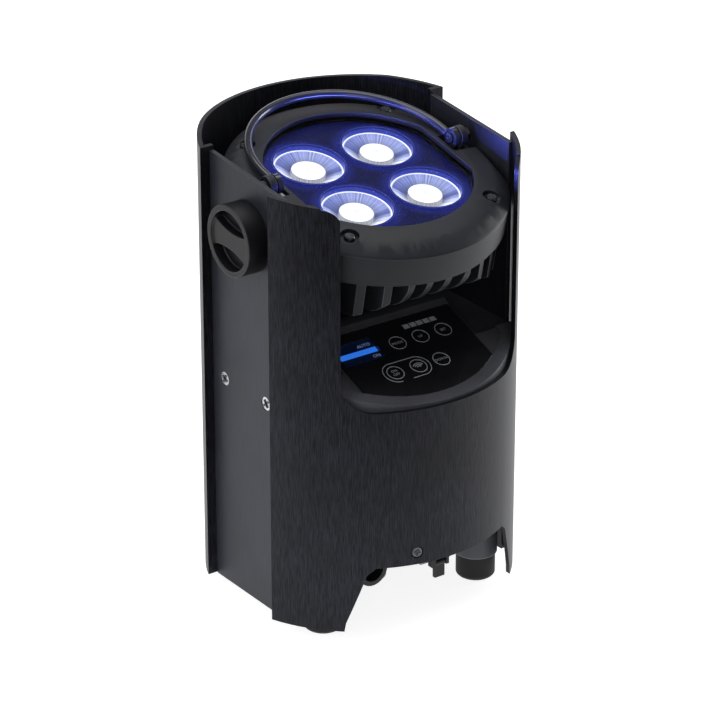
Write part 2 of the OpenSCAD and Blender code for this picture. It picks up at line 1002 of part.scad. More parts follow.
// Round cover behind the fins with a gland in its middle.
module back_cover() {
    color([0.12, 0.12, 0.13])
        in_head()
            difference() {
                union() {
                    translate([0, 0, -27])
                        cylinder(r = 32, h = 1.9, $fn = 120);
                    translate([0, 0, -31])
                        cylinder(r = 8, h = 4.1, $fn = 6);
                }
                translate([0, 0, -40])
                    cylinder(r = 3.5, h = 30, $fn = 48);
                for (turn = [45, 135, 225, 315])
                    rotate([0, 0, turn])
                        translate([24, 0, -40])
                            cylinder(r = 1.8, h = 30, $fn = 48);
            }
}

// Four screws that hold the back cover.
module back_screws() {
    color([0.4, 0.4, 0.42])
        in_head()
            for (turn = [45, 135, 225, 315])
                rotate([0, 0, turn])
                    translate([24, 0, -28.6])
                        rotate([180, 0, 0])
                            screw(2.9, 1.5, 1.55, 7);
}

// Thin washers between the tilt bosses and the side plates.
module friction_washers() {
    color([0.75, 0.7, 0.55])
        in_head()
            for (side = [0, 1])
                mirror([side, 0, 0])
                    translate([69.42, 0, 0])
                        rotate([0, 90, 0])
                            difference() {
                                cylinder(r = 11.5, h = 0.8, $fn = 96);
                                translate([0, 0, -1])
                                    cylinder(r = 8.05, h = 3, $fn = 96);
                            }
}

// Two round eared brackets that stand on the bezel and carry the handle.
module handle_brackets() {
    color([0.13, 0.13, 0.14])
        in_head()
            for (side = [-1, 1])
                translate([side * 61.5, hinge_v, hinge_h])
                    difference() {
                        union() {
                            rotate([0, 90, 0])
                                translate([0, 0, -2])
                                    cylinder(r = 5.6, h = 4, $fn = 96);
                            translate([-2, -4, 15 - hinge_h])
                                cube([4, 8, hinge_h - 15]);
                        }
                        rotate([0, 90, 0])
                            translate([0, 0, -4])
                                cylinder(r = 2.05, h = 8, $fn = 64);
                    }
}

// Bent rod with a flat round eye at each end, lying back over the head.
module handle_rod() {
    color([0.06, 0.06, 0.07])
        in_head()
            translate([0, hinge_v, hinge_h])
                rotate([1.2, 0, 0])
                    difference() {
                        union() {
                            for (side = [-1, 1]) {
                                translate([side * (handle_x - 0.9), 0, 0])
                                    rotate([0, 90, 0])
                                        translate([0, 0, -1.5])
                                            cylinder(r = 5.4, h = 3, $fn = 96);
                                translate([side * (handle_x - 0.9), 4.5, 0])
                                    rotate([-90, 0, 0])
                                        cylinder(r = rod_r, h = handle_leg - 4.5, $fn = 64);
                            }
                            translate([0, handle_leg, 0])
                                difference() {
                                    rotate_extrude($fn = 180)
                                        translate([handle_x - 0.9, 0])
                                            circle(r = rod_r, $fn = 64);
                                    translate([-100, -200, -50])
                                        cube([200, 200, 100]);
                                }
                        }
                        translate([-70, 0, 0])
                            rotate([0, 90, 0])
                                cylinder(r = 2.05, h = 140, $fn = 64);
                    }
}

// Two shoulder bolts through the eyes of the handle.
module handle_bolts() {
    color([0.10, 0.10, 0.11])
        in_head()
            for (side = [0, 1])
                mirror([side, 0, 0])
                    translate([0, hinge_v, hinge_h])
                        difference() {
                            union() {
                                translate([54.2, 0, 0])
                                    rotate([0, 90, 0])
                                        cylinder(r = 2.8, h = 1, $fn = 64);
                                translate([55.1, 0, 0])
                                    rotate([0, 90, 0])
                                        cylinder(r = 2, h = 11.4, $fn = 64);
                                translate([64, 0, 0])
                                    rotate([0, 90, 0])
                                        cylinder(r = 3.8, h = 2.6, $fn = 6);
                            }
                            translate([52, -0.4, -1.8])
                                cube([2.7, 0.8, 3.6]);
                            translate([52, -1.8, -0.4])
                                cube([2.7, 3.6, 0.8]);
                        }
}

// Two washers between the handle eyes and the brackets.
module handle_washers() {
    color([0.7, 0.7, 0.72])
        in_head()
            for (side = [0, 1])
                mirror([side, 0, 0])
                    translate([58.8, hinge_v, hinge_h])
                        rotate([0, 90, 0])
                            difference() {
                                cylinder(r = 3.9, h = 0.6, $fn = 64);
                                translate([0, 0, -1])
                                    cylinder(r = 2.05, h = 3, $fn = 64);
                            }
}

// One clamp knob: a hollow cup with a waisted grip web across it, drawn for the right side.
module knob() {
    translate([0, pivot_y, pivot_z])
        rotate([0, 90, 0])
            difference() {
                union() {
                    translate([0, 0, 73.6])
                        difference() {
                            cylinder(r = knob_r, h = knob_x - 73.6, $fn = 120);
                            translate([0, 0, knob_x - 73.6 - knob_cup])
                                cylinder(r = knob_r - 3.2, h = 30, $fn = 120);
                        }
                    // grip web, waisted in the middle
                    intersection() {
                        translate([0, 0, 76])
                            cylinder(r = knob_r - 3.1, h = knob_x - 77.2, $fn = 120);
                        rotate([0, 0, -84])
                            difference() {
                                translate([-30, -8, 70])
                                    cube([60, 16, 30]);
                                for (side = [-1, 1])
                                    translate([0, side * 45, 60])
                                        cylinder(r = 40, h = 50, $fn = 180);
                            }
                    }
                }
                // socket of the stud
                translate([0, 0, 72])
                    cylinder(r = 4.5, h = 4.3, $fn = 6);
            }
}

module knob_left() {
    color([0.05, 0.05, 0.05])
        mirror([1, 0, 0])
            knob();
}

module knob_right() {
    color([0.05, 0.05, 0.05])
        knob();
}

// Threaded stud of a clamp knob with its six sided head moulded in the knob.
module stud() {
    translate([0, pivot_y, pivot_z])
        rotate([0, 90, 0])
            union() {
                translate([0, 0, 54])
                    cylinder(r = 3, h = 20, $fn = 64);
                translate([0, 0, 73.7])
                    cylinder(r = 4.45, h = 2.5, $fn = 6);
            }
}

module stud_left() {
    color([0.7, 0.7, 0.72])
        mirror([1, 0, 0])
            stud();
}

module stud_right() {
    color([0.7, 0.7, 0.72])
        stud();
}

front_shell();
rear_shell();
side_plate_left();
side_plate_right();
plate_screws();
shell_screws();
control_housing();
panel_overlay();
display_glass();
display_module();
key_marks();
control_board();
battery_pack();
battery_straps();
driver_board();
radio_module();
base_plate();
base_screws();
foot_columns();
rubber_feet();
foot_screws();
connector_bracket();
inlet_flange();
inlet_body();
outlet_flange();
outlet_body();
outlet_latch();
data_socket();
switch_frame();
switch_rocker();
heatsink();
cooling_fins();
head_bezel();
bezel_screws();
head_glass();
glass_seal();
lens_plate();
lenses();
lens_holders();
led_chips();
led_board();
back_cover();
back_screws();
friction_washers();
handle_brackets();
handle_rod();
handle_bolts();
handle_washers();
knob_left();
stud_left();
knob_right();
stud_right();
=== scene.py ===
# %% [markdown]
# # Battery par can light
# This file finishes a stage light that stands on the floor: an upright black housing of brushed sheet
# metal, open in front, in which a round head with four lamps tilts between two side plates.
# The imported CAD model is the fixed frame. It gives every size, and it already moves. Here each part
# that shows gets softened edges or a shape of its own, and a finish made of nodes.

import json
import math

import bmesh
import bpy
from mathutils import Matrix, Vector

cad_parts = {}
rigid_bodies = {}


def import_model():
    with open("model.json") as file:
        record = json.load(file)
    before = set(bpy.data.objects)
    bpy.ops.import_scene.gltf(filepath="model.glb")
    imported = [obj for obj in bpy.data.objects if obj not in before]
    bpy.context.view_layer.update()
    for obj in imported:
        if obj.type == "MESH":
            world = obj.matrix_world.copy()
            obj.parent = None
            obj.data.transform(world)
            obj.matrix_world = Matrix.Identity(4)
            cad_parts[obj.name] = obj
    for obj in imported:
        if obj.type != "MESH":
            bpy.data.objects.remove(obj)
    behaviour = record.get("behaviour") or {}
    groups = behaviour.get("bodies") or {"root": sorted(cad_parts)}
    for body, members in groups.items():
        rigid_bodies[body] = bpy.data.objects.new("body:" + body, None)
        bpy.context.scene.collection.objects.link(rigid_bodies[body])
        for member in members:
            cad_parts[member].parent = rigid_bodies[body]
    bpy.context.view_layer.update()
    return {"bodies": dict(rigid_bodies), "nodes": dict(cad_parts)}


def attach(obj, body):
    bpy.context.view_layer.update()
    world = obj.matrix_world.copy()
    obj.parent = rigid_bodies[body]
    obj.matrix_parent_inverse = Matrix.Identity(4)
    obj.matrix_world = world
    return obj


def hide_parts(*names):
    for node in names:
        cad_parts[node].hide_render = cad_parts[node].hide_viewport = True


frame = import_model()
MM = 0.001

# %% [markdown]
# ## Two tilted frames
# The head leans forward on its axle and the control panel slopes, so shapes on them are easiest to
# draw flat and then put in place with one matrix. The same numbers centre the patterns on the head.

# %% Where the head and the panel lie
TILT_AXLE = Vector((0, -4, 221)) * MM
HEAD_TILT = math.radians(12)
PANEL_EDGE = Vector((0, -80, 139)) * MM
PANEL_TILT = math.radians(20)
ON_HEAD = Matrix.Translation(TILT_AXLE) @ Matrix.Rotation(HEAD_TILT, 4, "X") @ Matrix.Scale(MM, 4)
ON_PANEL = Matrix.Translation(PANEL_EDGE) @ Matrix.Rotation(PANEL_TILT, 4, "X") @ Matrix.Scale(MM, 4)
LENS_AT = 22.2
LENS_RADIUS = 18.8
LENS_CENTRES = [(sx * LENS_AT, sy * LENS_AT) for sx in (-1, 1) for sy in (-1, 1)]

# %% [markdown]
# ## Keeping the node editor readable
# Every material below is written out node by node, from an empty sheet. The second helper only sorts
# the nodes: one frame for each effect, its nodes in a row, so that the material opens in the editor
# as a tidy sheet.

# %% Start with an empty sheet, and sort its nodes into labelled frames
NODE_STEP = 210
FRAME_STEP = 340


def blank_material(name):
    material = bpy.data.materials.new(name)
    material.use_nodes = True
    material.node_tree.nodes.clear()
    return material, material.node_tree


def lay_out(tree, effects):
    for row, (title, members) in enumerate(effects.items()):
        box = tree.nodes.new("NodeFrame")
        box.label = title
        for column, member in enumerate(members):
            member.parent = box
            member.location = (column * NODE_STEP, -row * FRAME_STEP)


# %% [markdown]
# ## Brushed and anodised sheet
# The shells and side plates are aluminium, brushed up and down and then anodised black. The brushing
# leaves short upright lines of uneven strength. A noise squeezed along X and Y and stretched along Z
# gives such lines, and because it reads Object coordinates they run on round the curve with no seam.
# The lines change the colour, the gloss and the surface a little, and a few bright specks are dust.
# The bevelled edges are painted paler, a painted highlight along each edge.

# %% Brushed sheet material
def brushed_sheet(name, dark, light, across, along, gloss, speck_amount, edge_highlight_strength):
    material, tree = blank_material(name)
    place = tree.nodes.new("ShaderNodeTexCoord")
    place.label = "position on the sheet"
    stretch = tree.nodes.new("ShaderNodeMapping")
    stretch.label = "long and thin, upright"
    stretch.inputs["Scale"].default_value = (across, across, along)
    lines = tree.nodes.new("ShaderNodeTexNoise")
    lines.label = "brush lines"
    lines.inputs["Scale"].default_value = 1.0
    lines.inputs["Detail"].default_value = 3.0
    lines.inputs["Roughness"].default_value = 0.62
    strength = tree.nodes.new("ShaderNodeValToRGB")
    strength.label = "uneven strength of the lines"
    strength.color_ramp.elements[0].position = 0.36
    strength.color_ramp.elements[0].color = (*dark, 1)
    strength.color_ramp.elements[1].position = 0.66
    strength.color_ramp.elements[1].color = (*light, 1)
    clouds = tree.nodes.new("ShaderNodeTexNoise")
    clouds.label = "handling marks"
    clouds.inputs["Scale"].default_value = 22.0
    clouds.inputs["Detail"].default_value = 4.0
    dulling = tree.nodes.new("ShaderNodeMapRange")
    dulling.label = "slightly darker where handled"
    dulling.inputs["From Min"].default_value = 0.3
    dulling.inputs["From Max"].default_value = 0.7
    dulling.inputs["To Min"].default_value = 0.78
    dulling.inputs["To Max"].default_value = 1.12
    worn = tree.nodes.new("ShaderNodeVectorMath")
    worn.label = "brushing times handling"
    worn.operation = "SCALE"
    grains = tree.nodes.new("ShaderNodeTexVoronoi")
    grains.label = "scattered specks"
    grains.inputs["Scale"].default_value = 190.0
    speck = tree.nodes.new("ShaderNodeMapRange")
    speck.label = "keep only the speck centres"
    speck.inputs["From Min"].default_value = 0.05
    speck.inputs["From Max"].default_value = 0.02
    rare = tree.nodes.new("ShaderNodeMath")
    rare.label = "few cells hold a speck"
    rare.operation = "GREATER_THAN"
    rare.inputs[1].default_value = 1.0 - speck_amount
    pick = tree.nodes.new("ShaderNodeSeparateColor")
    pick.label = "one number for each cell"
    dust = tree.nodes.new("ShaderNodeMath")
    dust.label = "dust mask"
    dust.operation = "MULTIPLY"
    surface = tree.nodes.new("ShaderNodeMix")
    surface.label = "dust over the sheet"
    surface.data_type = "RGBA"
    surface.inputs["B"].default_value = (0.30, 0.31, 0.34, 1)
    # Paler colour on the bevelled faces: a painted highlight for the light caught along each edge.
    edge = tree.nodes.new("ShaderNodeAttribute")
    edge.label = "deburred edge"
    edge.attribute_name = "edge"
    edge_highlight_amount = tree.nodes.new("ShaderNodeMath")
    edge_highlight_amount.label = "strength of the painted edge highlight"
    edge_highlight_amount.operation = "MULTIPLY"
    edge_highlight_amount.inputs[1].default_value = edge_highlight_strength
    lightened = tree.nodes.new("ShaderNodeMix")
    lightened.label = "painted highlight on the edges"
    lightened.data_type = "RGBA"
    lightened.inputs["B"].default_value = (0.34, 0.35, 0.39, 1)
    rough = tree.nodes.new("ShaderNodeMapRange")
    rough.label = "lines are duller than the ground"
    rough.inputs["To Min"].default_value = gloss - 0.07
    rough.inputs["To Max"].default_value = gloss + 0.10
    grooves = tree.nodes.new("ShaderNodeBump")
    grooves.label = "shallow grooves"
    grooves.inputs["Strength"].default_value = 0.22
    grooves.inputs["Distance"].default_value = 0.00008
    shader = tree.nodes.new("ShaderNodeBsdfPrincipled")
    shader.label = "anodised metal"
    shader.inputs["Metallic"].default_value = 0.25
    shader.inputs["Specular IOR Level"].default_value = 0.22
    out = tree.nodes.new("ShaderNodeOutputMaterial")
    lay_out(tree, {
        "Brush lines": [place, stretch, lines, strength],
        "Handling": [clouds, dulling, worn],
        "Dust": [grains, pick, rare, speck, dust, surface],
        "Edges": [edge, edge_highlight_amount, lightened],
        "Surface": [rough, grooves, shader, out],
    })
    tree.links.new(place.outputs["Object"], stretch.inputs["Vector"])
    tree.links.new(stretch.outputs["Vector"], lines.inputs["Vector"])
    tree.links.new(lines.outputs["Fac"], strength.inputs["Fac"])
    tree.links.new(place.outputs["Object"], clouds.inputs["Vector"])
    tree.links.new(clouds.outputs["Fac"], dulling.inputs["Value"])
    tree.links.new(strength.outputs["Color"], worn.inputs[0])
    tree.links.new(dulling.outputs["Result"], worn.inputs["Scale"])
    tree.links.new(place.outputs["Object"], grains.inputs["Vector"])
    tree.links.new(grains.outputs["Color"], pick.inputs["Color"])
    tree.links.new(pick.outputs["Red"], rare.inputs[0])
    tree.links.new(grains.outputs["Distance"], speck.inputs["Value"])
    tree.links.new(speck.outputs["Result"], dust.inputs[0])
    tree.links.new(rare.outputs["Value"], dust.inputs[1])
    tree.links.new(dust.outputs["Value"], surface.inputs["Factor"])
    tree.links.new(worn.outputs["Vector"], surface.inputs["A"])
    tree.links.new(edge.outputs["Fac"], edge_highlight_amount.inputs[0])
    tree.links.new(edge_highlight_amount.outputs["Value"], lightened.inputs["Factor"])
    tree.links.new(surface.outputs["Result"], lightened.inputs["A"])
    tree.links.new(lightened.outputs["Result"], shader.inputs["Base Color"])
    tree.links.new(lines.outputs["Fac"], rough.inputs["Value"])
    tree.links.new(rough.outputs["Result"], shader.inputs["Roughness"])
    tree.links.new(lines.outputs["Fac"], grooves.inputs["Height"])
    tree.links.new(grooves.outputs["Normal"], shader.inputs["Normal"])
    tree.links.new(shader.outputs["BSDF"], out.inputs["Surface"])
    return material


SHELL_DARK, SHELL_LIGHT = (0.0020, 0.0021, 0.0034), (0.023, 0.024, 0.034)
PLATE_DARK, PLATE_LIGHT = (0.025, 0.026, 0.034), (0.041, 0.043, 0.056)
ANODISED_SHELL = brushed_sheet("anodised_shell", SHELL_DARK, SHELL_LIGHT, 2500, 130, 0.42, 0.05, 0.30)
ANODISED_PLATE = brushed_sheet("anodised_plate", PLATE_DARK, PLATE_LIGHT, 2600, 70, 0.44, 0.04, 0.3)
print("sheet finishes:", ANODISED_SHELL.name, ANODISED_PLATE.name)

# %% [markdown]
# ## Grained plastic, powder coat and rubber
# Moulded plastic, powder coated castings and rubber are one make-up: a dark colour that varies a
# little, a fine grain in the surface, and paler edges, partly a painted highlight and partly wear
# where hands and cases rub. The grain is a small noise in the bump; the paler edges come from an
# "edge" mark that the meshes carry.

# %% Grained surface material
def grained(name, colour, gloss, grain_per_metre, grain_depth, highlight_and_rub, coat):
    material, tree = blank_material(name)
    place = tree.nodes.new("ShaderNodeTexCoord")
    place.label = "position on the part"
    grain = tree.nodes.new("ShaderNodeTexNoise")
    grain.label = "moulded grain"
    grain.inputs["Scale"].default_value = grain_per_metre
    grain.inputs["Detail"].default_value = 2.0
    relief = tree.nodes.new("ShaderNodeBump")
    relief.label = "grain relief"
    relief.inputs["Strength"].default_value = 0.5
    relief.inputs["Distance"].default_value = grain_depth
    patches = tree.nodes.new("ShaderNodeTexNoise")
    patches.label = "uneven tone"
    patches.inputs["Scale"].default_value = 35.0
    patches.inputs["Detail"].default_value = 5.0
    tone = tree.nodes.new("ShaderNodeValToRGB")
    tone.label = "two close tones"
    tone.color_ramp.elements[0].position = 0.3
    tone.color_ramp.elements[0].color = (*[c * 0.8 for c in colour], 1)
    tone.color_ramp.elements[1].position = 0.7
    tone.color_ramp.elements[1].color = (*[c * 1.25 for c in colour], 1)
    # Paler colour on the bevelled faces: partly a painted highlight, partly rubbing wear.
    corners = tree.nodes.new("ShaderNodeAttribute")
    corners.label = "rounded edge"
    corners.attribute_name = "edge"
    lightened = tree.nodes.new("ShaderNodeMath")
    lightened.label = "strength of the painted highlight and rubbing"
    lightened.operation = "MULTIPLY"
    lightened.inputs[1].default_value = highlight_and_rub
    paint = tree.nodes.new("ShaderNodeMix")
    paint.label = "paler at the corners"
    paint.data_type = "RGBA"
    paint.inputs["B"].default_value = (*[min(1.0, c * 2.6 + 0.06) for c in colour], 1)
    shine = tree.nodes.new("ShaderNodeMapRange")
    shine.label = "gloss follows the tone"
    shine.inputs["To Min"].default_value = gloss - 0.08
    shine.inputs["To Max"].default_value = gloss + 0.08
    shader = tree.nodes.new("ShaderNodeBsdfPrincipled")
    shader.label = "plastic"
    shader.inputs["Specular IOR Level"].default_value = 0.25
    shader.inputs["Coat Weight"].default_value = coat
    shader.inputs["Coat Roughness"].default_value = 0.12
    out = tree.nodes.new("ShaderNodeOutputMaterial")
    lay_out(tree, {
        "Grain": [place, grain, relief],
        "Tone": [patches, tone, shine],
        "Painted highlight and rubbed corners": [corners, lightened, paint],
        "Surface": [shader, out],
    })
    tree.links.new(place.outputs["Object"], grain.inputs["Vector"])
    tree.links.new(grain.outputs["Fac"], relief.inputs["Height"])
    tree.links.new(place.outputs["Object"], patches.inputs["Vector"])
    tree.links.new(patches.outputs["Fac"], tone.inputs["Fac"])
    tree.links.new(patches.outputs["Fac"], shine.inputs["Value"])
    tree.links.new(corners.outputs["Fac"], lightened.inputs[0])
    tree.links.new(lightened.outputs["Value"], paint.inputs["Factor"])
    tree.links.new(tone.outputs["Color"], paint.inputs["A"])
    tree.links.new(paint.outputs["Result"], shader.inputs["Base Color"])
    tree.links.new(shine.outputs["Result"], shader.inputs["Roughness"])
    tree.links.new(relief.outputs["Normal"], shader.inputs["Normal"])
    tree.links.new(shader.outputs["BSDF"], out.inputs["Surface"])
    return material


CASE_PLASTIC = grained("case_plastic", (0.066, 0.067, 0.078), 0.44, 2600, 0.00006, 0.9, 0.0)
HEAD_CASTING = grained("head_casting", (0.017, 0.018, 0.023), 0.46, 3400, 0.00008, 0.55, 0.0)
FOOT_RUBBER = grained("foot_rubber", (0.012, 0.012, 0.013), 0.62, 1800, 0.00006, 0.25, 0.0)
KNOB_PLASTIC = grained("knob_plastic", (0.007, 0.007, 0.009), 0.46, 2200, 0.00004, 0.35, 0.0)
SOCKET_BLACK = grained("socket_black", (0.012, 0.012, 0.013), 0.38, 2000, 0.00003, 0.3, 0.0)
SOCKET_FLANGE = grained("socket_flange", (0.30, 0.31, 0.33), 0.40, 1800, 0.00003, 0.2, 0.0)
BASE_PAINT = grained("base_paint", (0.030, 0.030, 0.032), 0.50, 2400, 0.00008, 0.4, 0.0)
HANDLE_GLOSS = grained("handle_gloss", (0.020, 0.021, 0.030), 0.24, 900, 0.00002, 0.2, 0.6)
OVERLAY = grained("overlay", (0.011, 0.011, 0.014), 0.24, 500, 0.00001, 0.0, 0.5)
CIRCUIT_BOARD = grained("circuit_board", (0.010, 0.085, 0.035), 0.42, 700, 0.00005, 0.1, 0.3)
BATTERY_WRAP = grained("battery_wrap", (0.03, 0.07, 0.20), 0.35, 300, 0.00010, 0.3, 0.2)
LED_BOARD = grained("led_board", (0.55, 0.56, 0.54), 0.40, 900, 0.00003, 0.1, 0.0)

# %% [markdown]
# ## Plated and bare metal
# Screws, washers and sockets are plated steel or brass. The metal itself is plain; what makes it look
# real is fine scratching in every direction, darker colour in the hollows, and uneven gloss.

# %% Scratched metal material
def scratched_metal(name, colour, gloss, hollow_darkening):
    material, tree = blank_material(name)
    place = tree.nodes.new("ShaderNodeTexCoord")
    place.label = "position on the part"
    patches = tree.nodes.new("ShaderNodeTexNoise")
    patches.label = "worn and less worn patches"
    patches.inputs["Scale"].default_value = 400.0
    scratch = tree.nodes.new("ShaderNodeTexWave")
    scratch.label = "fine scratches"
    scratch.inputs["Scale"].default_value = 900.0
    scratch.inputs["Distortion"].default_value = 9.0
    scratch.inputs["Detail"].default_value = 3.0
    relief = tree.nodes.new("ShaderNodeBump")
    relief.label = "scratch relief"
    relief.inputs["Strength"].default_value = 0.15
    relief.inputs["Distance"].default_value = 0.00002
    hollows = tree.nodes.new("ShaderNodeNewGeometry")
    hollows.label = "hollows and corners"
    # Darker colour in the hollows, read from pointiness.
    mapped_amount = tree.nodes.new("ShaderNodeMapRange")
    mapped_amount.label = "darker in the hollows"
    mapped_amount.inputs["From Min"].default_value = 0.40
    mapped_amount.inputs["From Max"].default_value = 0.50
    mapped_amount.inputs["To Min"].default_value = hollow_darkening
    mapped_amount.inputs["To Max"].default_value = 0.0
    paint = tree.nodes.new("ShaderNodeMix")
    paint.label = "metal or darker hollows"
    paint.data_type = "RGBA"
    paint.inputs["A"].default_value = (*colour, 1)
    paint.inputs["B"].default_value = (*[c * 0.15 for c in colour], 1)
    shine = tree.nodes.new("ShaderNodeMapRange")
    shine.label = "uneven gloss"
    shine.inputs["To Min"].default_value = gloss - 0.08
    shine.inputs["To Max"].default_value = gloss + 0.12
    shader = tree.nodes.new("ShaderNodeBsdfPrincipled")
    shader.label = "metal"
    shader.inputs["Metallic"].default_value = 1.0
    out = tree.nodes.new("ShaderNodeOutputMaterial")
    lay_out(tree, {
        "Scratches": [place, scratch, relief],
        "Darker hollows": [hollows, mapped_amount, paint],
        "Surface": [patches, shine, shader, out],
    })
    tree.links.new(place.outputs["Object"], patches.inputs["Vector"])
    tree.links.new(place.outputs["Object"], scratch.inputs["Vector"])
    tree.links.new(scratch.outputs["Fac"], relief.inputs["Height"])
    tree.links.new(hollows.outputs["Pointiness"], mapped_amount.inputs["Value"])
    tree.links.new(mapped_amount.outputs["Result"], paint.inputs["Factor"])
    tree.links.new(paint.outputs["Result"], shader.inputs["Base Color"])
    tree.links.new(patches.outputs["Fac"], shine.inputs["Value"])
    tree.links.new(shine.outputs["Result"], shader.inputs["Roughness"])
    tree.links.new(relief.outputs["Normal"], shader.inputs["Normal"])
    tree.links.new(shader.outputs["BSDF"], out.inputs["Surface"])
    return material


BRIGHT_SCREW = scratched_metal("bright_screw", (0.52, 0.52, 0.54), 0.30, 0.8)
BLACK_SCREW = scratched_metal("black_screw", (0.10, 0.10, 0.11), 0.26, 0.7)
SOCKET_METAL = scratched_metal("socket_metal", (0.60, 0.60, 0.62), 0.26, 0.5)
STEEL_STRAP = scratched_metal("steel_strap", (0.45, 0.45, 0.47), 0.34, 0.5)
BRASS_WASHER = scratched_metal("brass_washer", (0.62, 0.48, 0.25), 0.30, 0.6)

# %% [markdown]
# ## Lit surfaces
# The lamps are on. Each optic is a clear cone over a chip: seen from outside, its core is a white
# disc, a little greyer in the middle, its wall is streaked blue and turns white towards one side, and
# it ends in a thin bright rim. The streaks follow the angle round the optic, so the piece carries its
# own flat map, in which the centre of each optic is at 0, 0 and its rim at 1. Angle and radius come
# from that map.

# %% Optic material
# The white side of each wall is painted: a fixed highlight for the lamp's light seen from one side.
BRIGHT_SIDE = math.radians(126)
WALL_STEPS = (
    (0.22, (0.16, 0.20, 0.48)),
    (0.42, (0.06, 0.08, 0.30)),
    (0.56, (0.45, 0.50, 0.78)),
    (0.75, (1.1, 1.1, 1.1)),
)


